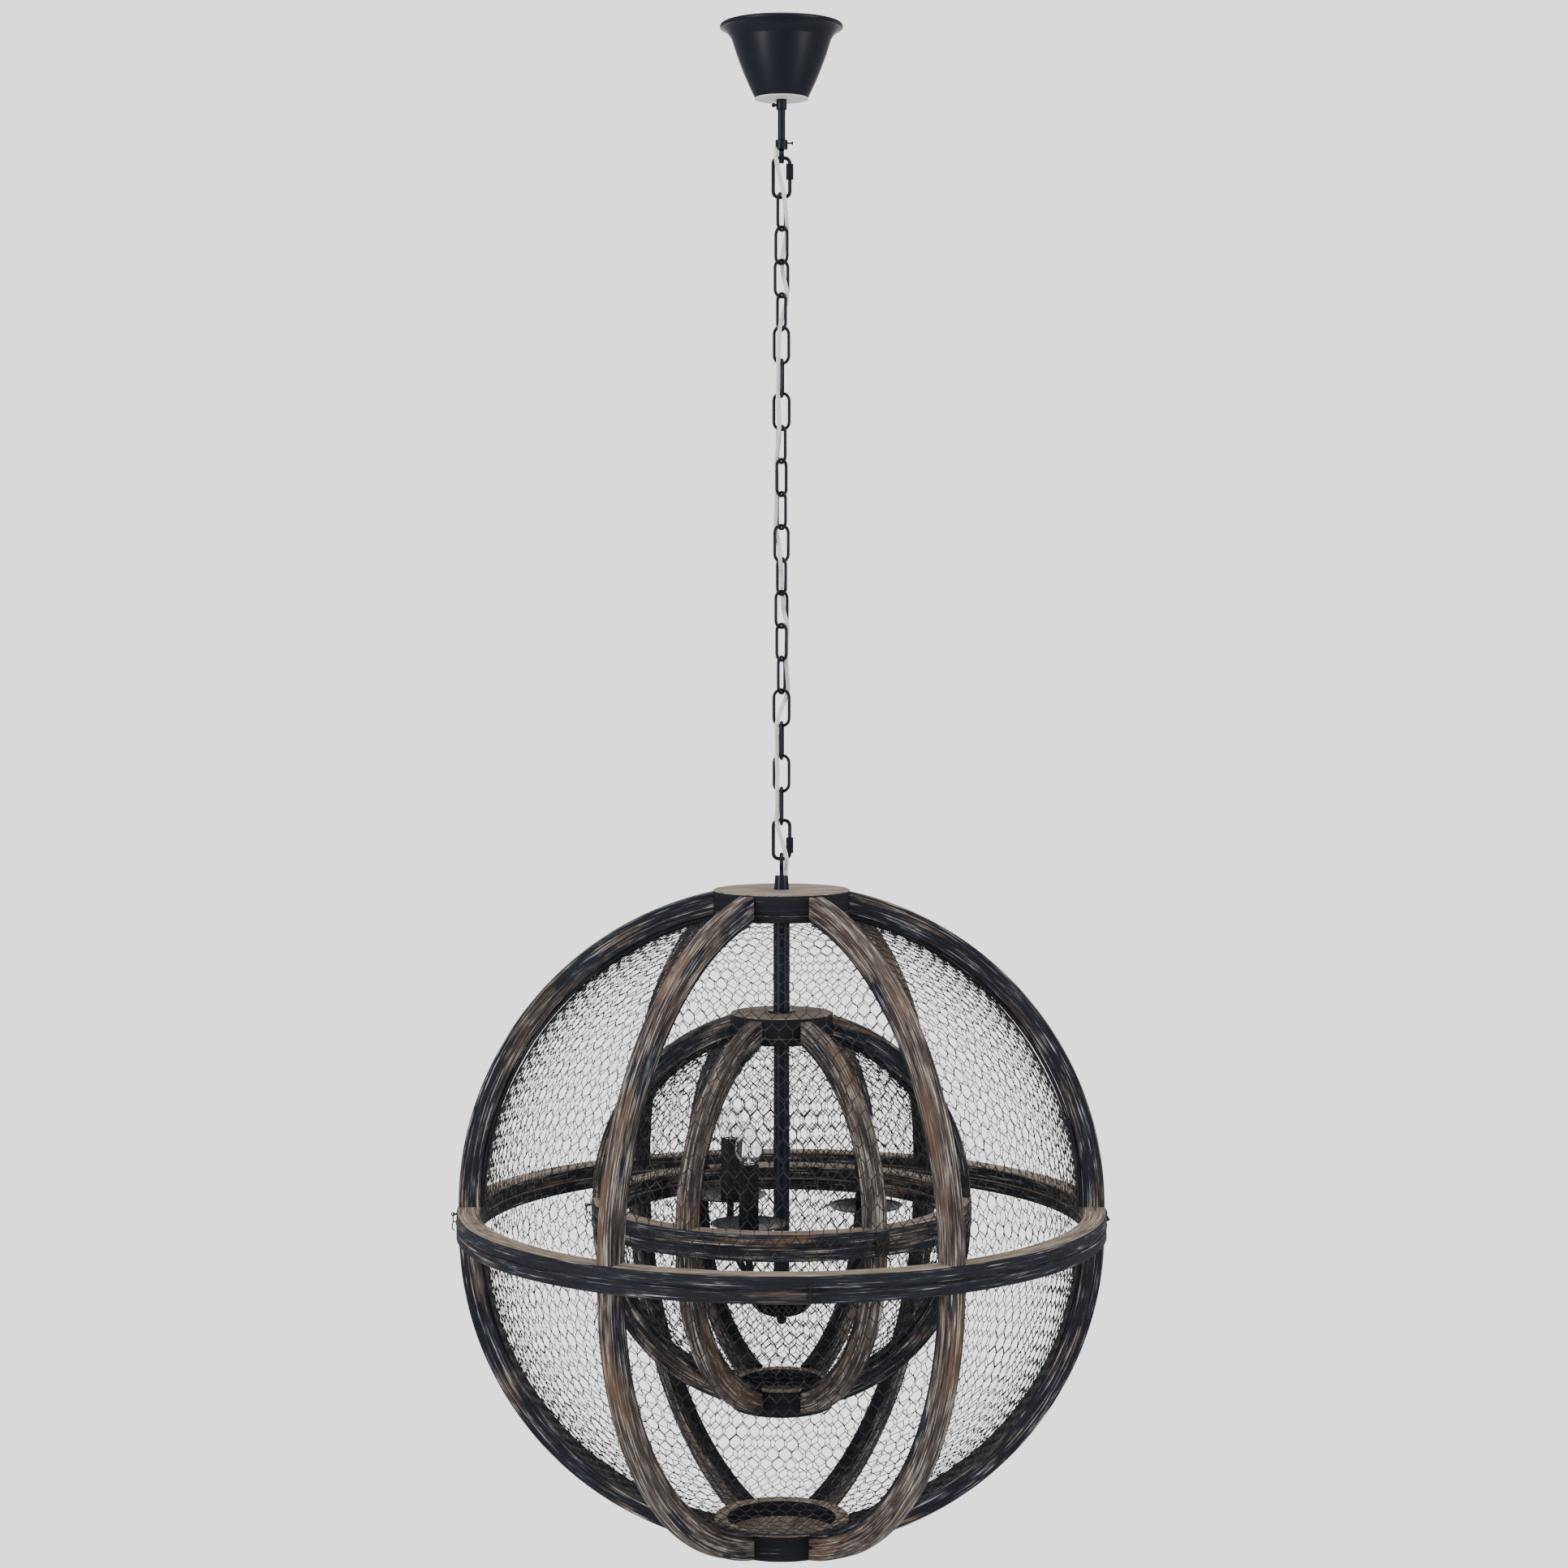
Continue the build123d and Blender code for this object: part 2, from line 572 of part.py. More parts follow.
# ------------------------------------------------------------ hinges
def hinge(ring_r, seam_z, leaf_height):
    """Butt hinge on +X: the upper leaf with its knuckles and pin, and the lower leaf."""
    axis_x = ring_r + leaf_thick + knuckle_r
    knuckle = leaf_width / 3
    seat = Pos(0, 0, seam_z) * Cylinder(ring_r, 4 * leaf_height)
    leaves = []
    for sign, spots in ((1, (-1, 1)), (-1, (0,))):
        plate = Box(leaf_thick + 1, leaf_width, leaf_height - half_gap / 2)
        middle = sign * (leaf_height + half_gap / 2) / 2
        leaf = Pos(ring_r + (leaf_thick - 1) / 2, 0, seam_z + middle) * plate
        for spot in spots:
            barrel = Rot(90, 0, 0) * Cylinder(knuckle_r, knuckle - half_gap)
            web = Box(knuckle_r + 0.2, knuckle - half_gap, 2 * knuckle_r)
            web = Pos(-(knuckle_r + 0.2) / 2, 0, sign * knuckle_r) * web
            leaf += Pos(axis_x, spot * knuckle, seam_z) * (barrel + web)
        for side in (-1, 1):
            head = Rot(0, 90, 0) * Cylinder(leaf_screw_r, leaf_screw_thick)
            spot = (ring_r + leaf_thick + leaf_screw_thick / 2, side * leaf_screw_spread,
                    seam_z + sign * leaf_height * leaf_screw_share)
            leaf += Pos(*spot) * head
        leaves.append(leaf - seat)
    pin = Pos(axis_x, 0, seam_z) * Rot(90, 0, 0) * Cylinder(pin_r, leaf_width - half_gap)
    bore = Pos(axis_x, 0, seam_z) * Rot(90, 0, 0) * Cylinder(pin_r + run_clear, leaf_width)
    return leaves[0] + pin, leaves[1] - bore


outer_upper_leaf, outer_lower_leaf = hinge(outer_ring_r, outer_seam_z, outer_leaf_height)
inner_upper_leaf, inner_lower_leaf = hinge(inner_ring_r, inner_seam_z, inner_leaf_height)
save("upper_hinge_leaves", outer_upper_leaf, at_azimuth(inner_upper_leaf, inner_hinge_azimuth))
save("outer_lower_hinge_leaf", outer_lower_leaf)
save("inner_lower_hinge_leaf", at_azimuth(inner_lower_leaf, inner_hinge_azimuth))


# ------------------------------------------------------------ hooks and screw eyes
def hook_set(ring_r, seam_z):
    """On +X: pivot eye in the upper ring, catch eye in the lower ring, and the hook."""
    wire_r = hook_wire / 2
    eye_x = ring_r + wire_r + eye_stand_off + eye_ring_r
    pivot_x = eye_x + eye_ring_r
    pivot_z = seam_z + hook_drop / 2
    catch_z = seam_z - hook_drop / 2
    shank = Pos(ring_r + wire_r, 0, 0) * Rot(0, 90, 0) * Cylinder(wire_r, 2 * wire_r)
    pivot_eye = Pos(0, 0, pivot_z) * (shank + Pos(eye_x, 0, 0) * Torus(eye_ring_r, wire_r))
    catch_eye = Pos(ring_r + wire_r + 1, 0, 0) * Rot(0, 90, 0) * Torus(eye_ring_r, wire_r)
    stub = Pos(ring_r + wire_r / 2 + 0.5, 0, -eye_ring_r) * Rot(0, 90, 0) * Cylinder(wire_r, wire_r + 1)
    catch_eye = Pos(0, 0, catch_z) * (catch_eye + stub)
    arm = FilletPolyline(
        (pivot_x, 0, pivot_z - hook_ring_r), (pivot_x, 0, catch_z),
        (pivot_x + hook_tail_bow, 0, catch_z - hook_tail * 0.6),
        (pivot_x - hook_tail_bow, 0, catch_z - hook_tail),
        radius=[3.0, 1.6])
    hook = sweep(Plane(arm @ 0, z_dir=arm % 0) * Circle(wire_r), path=arm)
    hook += torus(hook_ring_r, wire_r, Pos(pivot_x, 0, pivot_z) * Rot(90, 0, 0))
    tip = Rot(0, 90, 0) * Cylinder(wire_r, hook_tip)
    hook += Pos(pivot_x - hook_tip / 2, 0, catch_z + 0.6) * tip
    return pivot_eye, catch_eye, hook


outer_pivot, outer_catch, outer_hook = hook_set(outer_ring_r, outer_seam_z)
inner_pivot, inner_catch, inner_hook = hook_set(inner_ring_r, inner_seam_z)
outer_pivots = [at_azimuth(outer_pivot, azimuth) for azimuth in outer_hook_azimuths]
save("hook_pivot_eyes", *outer_pivots, at_azimuth(inner_pivot, inner_hook_azimuth))
save("outer_hook_catch_eyes", *[at_azimuth(outer_catch, azimuth) for azimuth in outer_hook_azimuths])
save("outer_side_hook", at_azimuth(outer_hook, outer_hook_azimuths[0]))
save("outer_front_hook", at_azimuth(outer_hook, outer_hook_azimuths[1]))
save("inner_hook_catch_eye", at_azimuth(inner_catch, inner_hook_azimuth))
save("inner_side_hook", at_azimuth(inner_hook, inner_hook_azimuth))

# ------------------------------------------------------------ candle cluster
arm_z = stem_end_z - arm_level
pan_z = arm_z + pan_rise
hub_low_z = stem_end_z - turned_hub_height
bowl_low_z = hub_low_z - bowl_depth

stem_bore = candle_stem_r - candle_stem_wall
save("candle_stem", pipe(candle_stem_r, stem_bore, stem_end_z + candle_stem_length, candle_stem_length))

with BuildSketch(Plane.XZ) as hub_half:
    with BuildLine():
        hub_top = Line((0, stem_end_z), (turned_hub_r - turned_hub_round, stem_end_z))
        hub_foot = (turned_hub_r - turned_hub_round, hub_low_z)
        hub_side = ThreePointArc(hub_top @ 1, (turned_hub_r, arm_z), hub_foot)
        Polyline(hub_side @ 1, (0, hub_low_z), hub_top @ 0)
    make_face()
turned_hub = revolve(hub_half.sketch, Axis.Z)


def candle_arm():
    """Arm on +X: straight out of the hub, a quarter bend, then up to the pan."""
    route = FilletPolyline(
        (turned_hub_r - arm_socket, 0, arm_z), (candle_circle_r, 0, arm_z), (candle_circle_r, 0, pan_z),
        radius=arm_bend_r)
    return sweep(Plane(route @ 0, z_dir=route % 0) * Circle(arm_r), path=route)


arm = candle_arm()
arm_hole = Pos(turned_hub_r, 0, arm_z) * Rot(0, 90, 0) * Cylinder(arm_r + run_clear, 2 * arm_socket)
turned_hub = turned_hub.cut(*[at_azimuth(arm_hole, azimuth) for azimuth in candle_azimuths])
save("candle_hub", turned_hub)
save("candle_arms", *[at_azimuth(arm, azimuth) for azimuth in candle_azimuths])

with BuildSketch(Plane.XZ) as bowl_half:
    with BuildLine():
        rim = Line((0, hub_low_z), (bowl_r, hub_low_z))
        side = (bowl_r * bowl_belly, hub_low_z - bowl_depth * bowl_belly)
        belly = ThreePointArc(rim @ 1, side, (finial_neck_r, bowl_low_z))
        Polyline(belly @ 1, (0, bowl_low_z), rim @ 0)
    make_face()
bowl = revolve(bowl_half.sketch, Axis.Z)
for index in range(bowl_flutes):
    flute_x = bowl_r + bowl_flute_r * (1 - bowl_flute_bite)
    flute = Pos(flute_x, 0, hub_low_z) * Rot(0, bowl_flute_lean, 0) * Cylinder(bowl_flute_r, 3 * bowl_depth)
    bowl -= at_azimuth(flute, index * 360 / bowl_flutes)
save("fluted_bowl", bowl)
finial = rod(finial_neck_r, bowl_low_z, finial_drop) + Pos(0, 0, bowl_low_z - finial_drop) * Sphere(finial_r)
save("ball_finial", finial)

lip_r = pan_r - pan_lip
lip_z = pan_z + pan_depth - pan_lip_depth
pan = turned([
    (0, pan_z), (pan_flat_r, pan_z), (lip_r, lip_z), (pan_r, pan_z + pan_depth),
    (pan_r - pan_wall, pan_z + pan_depth), (lip_r - pan_wall, lip_z + pan_wall),
    (pan_flat_r - pan_wall, pan_z + pan_wall), (0, pan_z + pan_wall)])
candle_z = pan_z + pan_wall
candle = pipe(sleeve_r, sleeve_bore_r, candle_z + candle_height, candle_height)
socket = pipe(socket_r, socket_bore_r, candle_z + socket_height, socket_height)
bulb_low = candle_z + candle_height - bulb_base_length
with BuildSketch(Plane.XZ) as bulb_half:
    with BuildLine():
        glass_foot = bulb_low + bulb_base_length
        base = Polyline((0, bulb_low), (bulb_neck_r, bulb_low), (bulb_neck_r, glass_foot))
        widest = (bulb_r, glass_foot + bulb_height * bulb_belly)
        tip = (0, glass_foot + bulb_height)
        glass = Spline(base @ 1, widest, tip, tangents=[(0.5, 1), (-0.6, 1)])
        Line(glass @ 1, base @ 0)
    make_face()
bulb = revolve(bulb_half.sketch, Axis.Z)


def round_candles(piece):
    """The same piece at each candle's place."""
    return [at_azimuth(Pos(candle_circle_r, 0, 0) * piece, azimuth) for azimuth in candle_azimuths]


save("drip_pans", *round_candles(pan))
save("candle_sleeves", *round_candles(candle))
save("lamp_sockets", *round_candles(socket))
save("candle_bulbs", *round_candles(bulb))

# ------------------------------------------------------------ supply cord
points = [Vector(*point) for point in cord_route]
radii = []
for before, corner, after in zip(points, points[1:], points[2:]):
    turn = (corner - before).get_angle(after - corner)
    run = min((corner - before).length, (after - corner).length)
    radii.append(0.45 * run / math.tan(math.radians(turn) / 2))
cord_line = FilletPolyline(*points, radius=radii)
cord = sweep(Plane(cord_line @ 0, z_dir=cord_line % 0) * Circle(cord_r), path=cord_line)
print("cord radii", [round(radius) for radius in radii])
print("cord length", round(cord_line.length, 1), "volume over section times length",
      round(cord.volume / (math.pi * cord_r ** 2 * cord_line.length), 4))
save("supply_cord", cord)

print("eye top", round(eye_z, 2), "cone top", round(cone_z, 2), "outer hub", round(outer_hub_z, 2))
print("outer ring", round(outer_ring_z, 2), "seam", round(outer_seam_z, 2), "under", round(outer_under_z, 2))
print("inner hub", round(inner_hub_z, 2), "ring", round(inner_ring_z, 2), "seam", round(inner_seam_z, 2))
print("pan", round(pan_z, 2), "bowl", round(bowl_low_z, 2))
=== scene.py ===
# %% [markdown]
# # Orb chandelier: the looks on a CAD frame
#
# The CAD model gives every rigid piece its place and size, in metres, with the
# ceiling at z = 0 and the front towards -Y. This lesson dresses it: brushed and
# limed wood, hexagonal wire netting, lacquered metal, a clear cord and glass
# candle bulbs. A piece that already has the right shape keeps its CAD mesh and
# gets a material. A piece that needs finer form is built here and replaces it.

# %% Load the frame
import json
import math
import random

import bmesh
import bpy
import numpy as np
from mathutils import Matrix, Vector, noise

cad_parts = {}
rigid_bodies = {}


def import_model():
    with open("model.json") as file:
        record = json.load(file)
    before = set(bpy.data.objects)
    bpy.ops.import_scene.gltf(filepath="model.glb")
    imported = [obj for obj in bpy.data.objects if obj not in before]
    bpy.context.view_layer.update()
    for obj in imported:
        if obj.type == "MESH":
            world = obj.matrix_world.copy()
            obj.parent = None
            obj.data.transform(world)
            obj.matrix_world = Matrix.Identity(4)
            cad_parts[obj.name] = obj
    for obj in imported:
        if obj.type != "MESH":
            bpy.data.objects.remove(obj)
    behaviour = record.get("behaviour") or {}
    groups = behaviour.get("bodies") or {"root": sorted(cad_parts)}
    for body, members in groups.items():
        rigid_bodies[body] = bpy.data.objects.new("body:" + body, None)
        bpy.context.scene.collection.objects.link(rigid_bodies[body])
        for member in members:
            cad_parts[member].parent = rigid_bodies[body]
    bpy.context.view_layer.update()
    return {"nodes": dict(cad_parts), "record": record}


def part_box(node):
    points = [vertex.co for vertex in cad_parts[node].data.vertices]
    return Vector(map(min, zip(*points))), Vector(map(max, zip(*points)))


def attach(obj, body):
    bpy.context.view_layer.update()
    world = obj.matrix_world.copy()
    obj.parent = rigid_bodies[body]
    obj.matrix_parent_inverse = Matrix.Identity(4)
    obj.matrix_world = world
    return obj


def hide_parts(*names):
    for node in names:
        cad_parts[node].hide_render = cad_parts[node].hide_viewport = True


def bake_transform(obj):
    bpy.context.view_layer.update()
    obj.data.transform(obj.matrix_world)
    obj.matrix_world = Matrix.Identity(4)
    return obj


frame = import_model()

for name in ("Cube", "Light", "Camera"):
    if name in bpy.data.objects:
        bpy.data.objects.remove(bpy.data.objects[name])
nodes = frame["nodes"]

# %% [markdown]
# ## Camera
#
# The photograph was taken level with the chain, almost three metres away, with
# the camera tipped down a little. Its focal length came from the rings and hubs:
# circles at known heights turn into ellipses whose flatness gives the eye level.

# %% Camera
EYE = (0.0024, -2.891, -0.567)
TIP_DOWN = math.radians(3.17)
camera_data = bpy.data.cameras.new("camera")
camera_data.lens = 68.6
camera_data.sensor_width = 36.0
camera_data.clip_end = 60.0
camera = bpy.data.objects.new("camera", camera_data)
camera.location = EYE
camera.rotation_euler = (math.pi / 2 - TIP_DOWN, 0.0, 0.0)
bpy.context.scene.collection.objects.link(camera)
bpy.context.scene.camera = camera
print("camera at", tuple(round(v, 3) for v in camera.location))

# %% [markdown]
# ## Supply cord
#
# The lamp's cord is a clear flat twin: two fine strands side by side. It leaves
# the collar, then winds through the links down to the cone. A hanging cord could
# be simulated, but this one lies where a hand wove it, so its route is a list of
# places, and a smooth NURBS curve follows them.

# %% Cord route
CORD_ROUTE_MM = [
    (-4.7, -0.1, -116.7), (-5.2, -3.9, -124.5), (-5.0, -5.3, -131), (-1.1, -4.8, -147),
    (2.6, -4.7, -162.3), (4.1, -1.9, -178.2), (5.8, 0.8, -194), (2.3, 3.6, -209.8),
    (-0.2, 5.7, -225.7), (2.5, 1.8, -241.6), (6.4, -1.5, -257.4), (1.9, -2.5, -273.2),
    (-2.0, -5.0, -289.1), (-2.7, -4.8, -305), (-3.2, -5.4, -320.8), (-2.9, -4.0, -336.6),
    (-3.6, -4.0, -352.5), (-2.5, -3.9, -368.4), (-2.1, -4.5, -384.2), (-2.8, -1.6, -400),
    (-5.3, 0.8, -415.9), (-4.6, 0.3, -431.8), (-4.8, 0.1, -447.6), (-5.3, 1.3, -463.4),
    (-6.1, 2.0, -479.3), (-2.4, -1.8, -495.2), (-1.3, -6.7, -511), (0.2, 0.5, -526.8),
    (0.8, 7.6, -542.7), (1.7, 2.5, -558.6), (6.1, -0.9, -574.4), (4.9, -0.7, -590.2),
    (4.3, 0.5, -606.1), (5.6, 2.2, -622), (6.9, 4.3, -637.8), (-0.2, 0.3, -653.6),
    (-5.4, -4.3, -669.5), (-4.2, -3.6, -685.4), (-4.6, -3.2, -701.2), (-3.8, -2.6, -717.1),
    (-4.4, -3.2, -732.9), (-3.9, -3.5, -748.8), (-5.2, -4.4, -764.6), (0.2, -4.0, -782),
    (5.2, -4.7, -797.5), (4.6, -2.8, -808.5), (4.1, -1.0, -815.3)]
CORD_WIDTH = 0.0041


def nurbs_line(name, points):
    """The points of one smooth open spline with these control points."""
    curve = bpy.data.curves.new(name, "CURVE")
    curve.dimensions = "3D"
    curve.resolution_u = 6
    spline = curve.splines.new("NURBS")
    spline.points.add(len(points) - 1)
    for point, place in zip(spline.points, points):
        point.co = (*place, 1.0)
    spline.order_u = 3
    spline.use_endpoint_u = True
    holder = bpy.data.objects.new(name, curve)
    mesh = bpy.data.meshes.new_from_object(holder)
    line = np.array([v.co for v in mesh.vertices])
    bpy.data.objects.remove(holder)
    bpy.data.meshes.remove(mesh)
    bpy.data.curves.remove(curve)
    return line


cord_line = nurbs_line("cord_line", [[v / 1000 for v in point] for point in CORD_ROUTE_MM])
if cord_line[0][2] < cord_line[-1][2]:
    cord_line = cord_line[::-1]
cord_length = float(np.linalg.norm(np.diff(cord_line, axis=0), axis=1).sum())
print("cord line", len(cord_line), "points,", round(cord_length, 4), "m long")

# %% [markdown]
# ## Turning lists of points into meshes
#
# Most pieces here are a section carried along a path: a wooden bar, a ring, a
# wire. Blender's curves can carry a section too, but then each point of it moves
# alike, and worn wood needs points of its own. So rows of points are worked out
# first, and `skin` joins them into quads. `path_frames` gives each place on a
# path two directions across it, and `tube` puts a section there.

# %% Mesh helpers
def turn_outwards(mesh):
    """Make every face look outwards, which glass and bump shading need."""
    turned = bmesh.new()
    turned.from_mesh(mesh)
    bmesh.ops.recalc_face_normals(turned, faces=turned.faces)
    turned.to_mesh(mesh)
    turned.free()


def new_piece(name, points, faces, smooth=True):
    """A mesh object from points and faces."""
    mesh = bpy.data.meshes.new(name)
    mesh.from_pydata([tuple(p) for p in points], [], faces)
    mesh.update()
    piece = bpy.data.objects.new(name, mesh)
    bpy.context.scene.collection.objects.link(piece)
    mesh.shade_smooth() if smooth else mesh.shade_flat()
    return piece


def skin(rows, close_rows=False, close_points=True, first=0):
    """Quads between rows of equal length, numbered from first."""
    count, width = len(rows), len(rows[0])
    faces = []
    for row in range(count if close_rows else count - 1):
        below = (row + 1) % count
        for spot in range(width if close_points else width - 1):
            right = (spot + 1) % width
            faces.append((first + row * width + spot, first + row * width + right,
                          first + below * width + right, first + below * width + spot))
    return faces


def path_frames(line):
    """Two directions across the path at each of its points, without twist."""
    line = np.asarray(line, float)
    along = np.gradient(line, axis=0)
    along /= np.linalg.norm(along, axis=1)[:, None]
    side = np.cross(along[0], (0.0, 1.0, 0.0))
    sides = []
    for step in along:
        side = side - step * side.dot(step)
        side /= np.linalg.norm(side)
        sides.append(side)
    sides = np.array(sides)
    return sides, np.cross(along, sides)


def tube(line, section):
    """Rows of points: the (x, y) section carried along the line."""
    sides, others = path_frames(line)
    return [[np.array(p) + x * s + y * o for x, y in section] for p, s, o in zip(line, sides, others)]


print("helpers ready")

# %% [markdown]
# The chain bends at its joints, and the cord in it has to bend along. One long
# mesh can only follow two bodies, so the cord is cut midway between the joints,
# into one length for each joint.

# %% Cord lengths
def chain_stops():
    """The joints between the ceiling and the orb, as (upper body, lower body, height)."""
    stops = []
    body = "ceiling_mount"
    while body != "orb":
        for joint in frame["record"]["behaviour"]["joints"]:
            if joint["parent"] == body and joint["type"] == "hinge" and "swing" in joint["name"]:
                stops.append((body, joint["child"], joint["pos_m"][2]))
                body = joint["child"]
                break
    return stops


FIRST_SHARE = 0.62  # of the way to the second joint, so that the first length isn't too short
BEND_HALF = 0.008  # a height above and below a joint; it is only used in sums that are thrown away, so the cord isn't bent
stops = chain_stops()
joint_heights = [height for _, _, height in stops]
shares = [FIRST_SHARE] + [0.5] * (len(stops) - 2)
between = [a + (b - a) * share for a, b, share in zip(joint_heights, joint_heights[1:], shares)]
cuts = [0.0] + between + [-math.inf]
strand = CORD_WIDTH / 4
twin = [(side * strand + strand * math.cos(a), strand * math.sin(a))
        for side, start in ((1, -120), (-1, 60))
        for a in (math.radians(start + step * 40) for step in range(7))]
cord_pieces = []
for index, (upper, lower, height) in enumerate(stops):
    inside = [p for p in cord_line if cuts[index + 1] < p[2] <= cuts[index]]
    last = len([p for p in cord_line if p[2] > cuts[index + 1]])
    line = np.array(inside + ([cord_line[last]] if last < len(cord_line) else []))
    rows = tube(line, twin)
    piece = new_piece("supply_cord_%02d" % (index + 1), [p for row in rows for p in row], skin(rows))
    height + BEND_HALF
    height - BEND_HALF
    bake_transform(piece)
    cord_pieces.append(piece)
for piece in cord_pieces:
    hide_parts("supply_cord")

# %% [markdown]
# ## Wooden bars
#
# The ribs are thick bent strips whose faces were wire-brushed, so the soft part
# of the grain is worn into long grooves and the edges are uneven. A texture alone
# can't break an edge, so the grooves are cut into the mesh: each point of the
# section has its own depth, which swells and fades along the bar. The cut only
# goes inwards, so the bar stays in the space of its CAD solid.

# %% Section of a bar
def bar_section(depth, width, step=0.0012, corner=0.0012):
    """Points round a rectangle with cut corners, as (inwards, sideways, face, along the outline).

    Face 0 is the outer one, 1 and 3 are the sides and 2 is the inner one."""
    corners = [(0, -width / 2), (0, width / 2), (depth, width / 2), (depth, -width / 2)]
    section = []
    run = 0.0
    for face in range(4):
        a, b = np.array(corners[face]), np.array(corners[(face + 1) % 4])
        length = np.linalg.norm(b - a)
        way = (b - a) / length
        inner = length - 2 * corner
        count = max(2, round(inner / step))
        for index in range(count + 1):
            spot = a + way * (corner + inner * index / count)
            section.append((spot[0], spot[1], face, run + corner + inner * index / count))
        run += length
    return section


def groove_depths(section, rng, deep):
    """A depth for each point of a section: ridges and worn lines side by side."""
    depths = []
    worn = 0.0
    for _ in section:
        worn = 0.55 * worn + rng.random() ** 2.2
        depths.append(deep * min(1.0, worn * 0.62))
    return depths


def brushed(depth, spot, along, seed):
    """The groove's depth at a place along the bar."""
    swell = noise.noise(Vector((along * 9.0, spot * 260.0, seed)))
    patch = noise.noise(Vector((along * 3.0, spot * 40.0, seed + 7.7)))
    return depth * max(0.0, 0.55 + 0.55 * swell + 0.5 * patch)


print("points round a thick bar", len(bar_section(0.0215, 0.016)))

# %% [markdown]
# The wood's finish needs two things that a mesh doesn't have: which way the fibres
# run, and how weathered a face is. A UV map named "grain" is in metres and its u
# runs along the fibres, and a face value named "tone" goes from dark stain, below
# 0, to bare sawn wood, at 2.

# %% Bars to one mesh with its grain
def grain_piece(name, parts):
    """One mesh from parts: rows of points, grain u of rows and v of points, tones, closed."""
    points, faces, along, across, kinds = [], [], [], [], []
    for rows, us, vs, tones, closed in parts:
        first = len(points)
        width = len(rows[0])
        points += [p for row in rows for p in row]
        made = skin(rows, close_rows=closed, first=first)
        faces += made
        for number, _ in enumerate(made):
            row, spot = divmod(number, width)
            below, right = row + 1, spot + 1
            low, high = us[row], us[below] if below < len(us) else us[row] + (us[1] - us[0])
            left_v, right_v = vs[spot], vs[right] if right < width else vs[spot] + 0.001
            along += [low, low, high, high]
            across += [left_v, right_v, right_v, left_v]
            kinds.append(tones[spot])
    piece = new_piece(name, points, faces)
    piece.data.polygons.foreach_set("use_smooth", [False] * len(faces))
    grain = piece.data.uv_layers.new(name="grain")
    grain.data.foreach_set("uv", np.column_stack([along, across]).ravel())
    tone = piece.data.attributes.new("tone", "FLOAT", "FACE")
    tone.data.foreach_set("value", kinds)
    turn_outwards(piece.data)
    return piece


RIB_ARC = 1.35  # about the angle of a rib between its ring and its hub, in radians
RIB_TONES = (0.0, 0.25, 0.2, 0.05, 0.5, 0.6)  # the stain was rubbed off the front two most


def ribs(name, node, radius, depth, width, hub_r, ring_z, up, face_tones, step=0.005, deep=0.0012):
    """Six quarter-circle bars from a ring to the side of a hub."""
    section = bar_section(depth, width)
    parts = []
    for number in range(6):
        rng = random.Random("%s %d" % (name, number))
        seed = rng.random() * 90
        depths = groove_depths(section, rng, deep)
        turn = math.radians(60 * number)
        arc = radius * RIB_ARC
        count = round(arc / step)
        rows, us = [], []
        for index in range(count + 1):
            row = []
            share = index / count
            for (inward, side, face, spot), cut in zip(section, depths):
                worn = brushed(cut, spot, share * arc, seed)
                at_r = radius - inward
                at_side = side
                if face == 0:
                    at_r -= worn
                elif face == 2:
                    at_r += worn * 0.4
                else:
                    at_side -= math.copysign(worn * 0.5, side)
                end = math.acos(math.sqrt(hub_r ** 2 - at_side ** 2) / at_r)
                angle = share * end
                x, z = at_r * math.cos(angle), at_r * math.sin(angle)
                row.append((x * math.cos(turn) - at_side * math.sin(turn),
                            x * math.sin(turn) + at_side * math.cos(turn),
                            ring_z + (z if up else -z)))
            rows.append(row)
            us.append(seed + share * arc)
        tones = [face_tones[face] + RIB_TONES[number] for _, _, face, _ in section]
        vs = [seed * 0.37 + spot for *_, spot in section]
        if up:
            rows = [row[::-1] for row in rows]
            vs, tones = vs[::-1], tones[::-1]
        parts.append((rows, us, vs, tones, False))
    piece = grain_piece(name, parts)
    if node:
        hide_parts(node)
    return piece


print("bar tools ready for", len(RIB_TONES), "ribs")

# %% [markdown]
# ## Ribs of both orbs
#
# Each orb has six ribs above its rings and six below. The outer face took the
# most brushing and shows pale lime in its grooves, while the side faces kept more
# of their dark stain. A thinner batten lies inside each rib and clamps the
# netting. Its darker tones are painted shade for the shadow inside the rib, laid
# over its stain.

# %% Sizes read from the CAD nodes
def tops(node):
    """Lowest and highest z of a node, and its largest radius from the axis."""
    low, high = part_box(node)
    return low[2], high[2], max(abs(low[0]), high[0], abs(low[1]), high[1])


# "rib" is outer radius, depth and width. "board_line" is the depth of the line between
# a hub's boards, and "net_inset" is how far the netting lies inside the ribs.
ORBS = {
    "outer": {"rib": (0.315, 0.0215, 0.016), "hub_r": 0.0665, "board_line": 0.0197, "tray_r": 0.0535,
              "ring_width": 0.0225, "edge_tone": 0.12, "net_inset": 0.0039},
    "inner": {"rib": (0.1845, 0.020, 0.015), "hub_r": 0.050, "board_line": 0.0195, "tray_r": 0.040,
              "ring_width": 0.021, "edge_tone": 0.45, "net_inset": 0.0035}}
for orb, sizes in ORBS.items():
    _, sizes["upper_z"], ring_r = tops(orb + "_upper_ring")
    sizes["lower_z"], _, _ = tops(orb + "_lower_ring")
    heights = round(sizes["lower_z"], 4), round(sizes["upper_z"], 4)
    print(orb, "ring radius", round(ring_r, 4), "between the heights", heights)

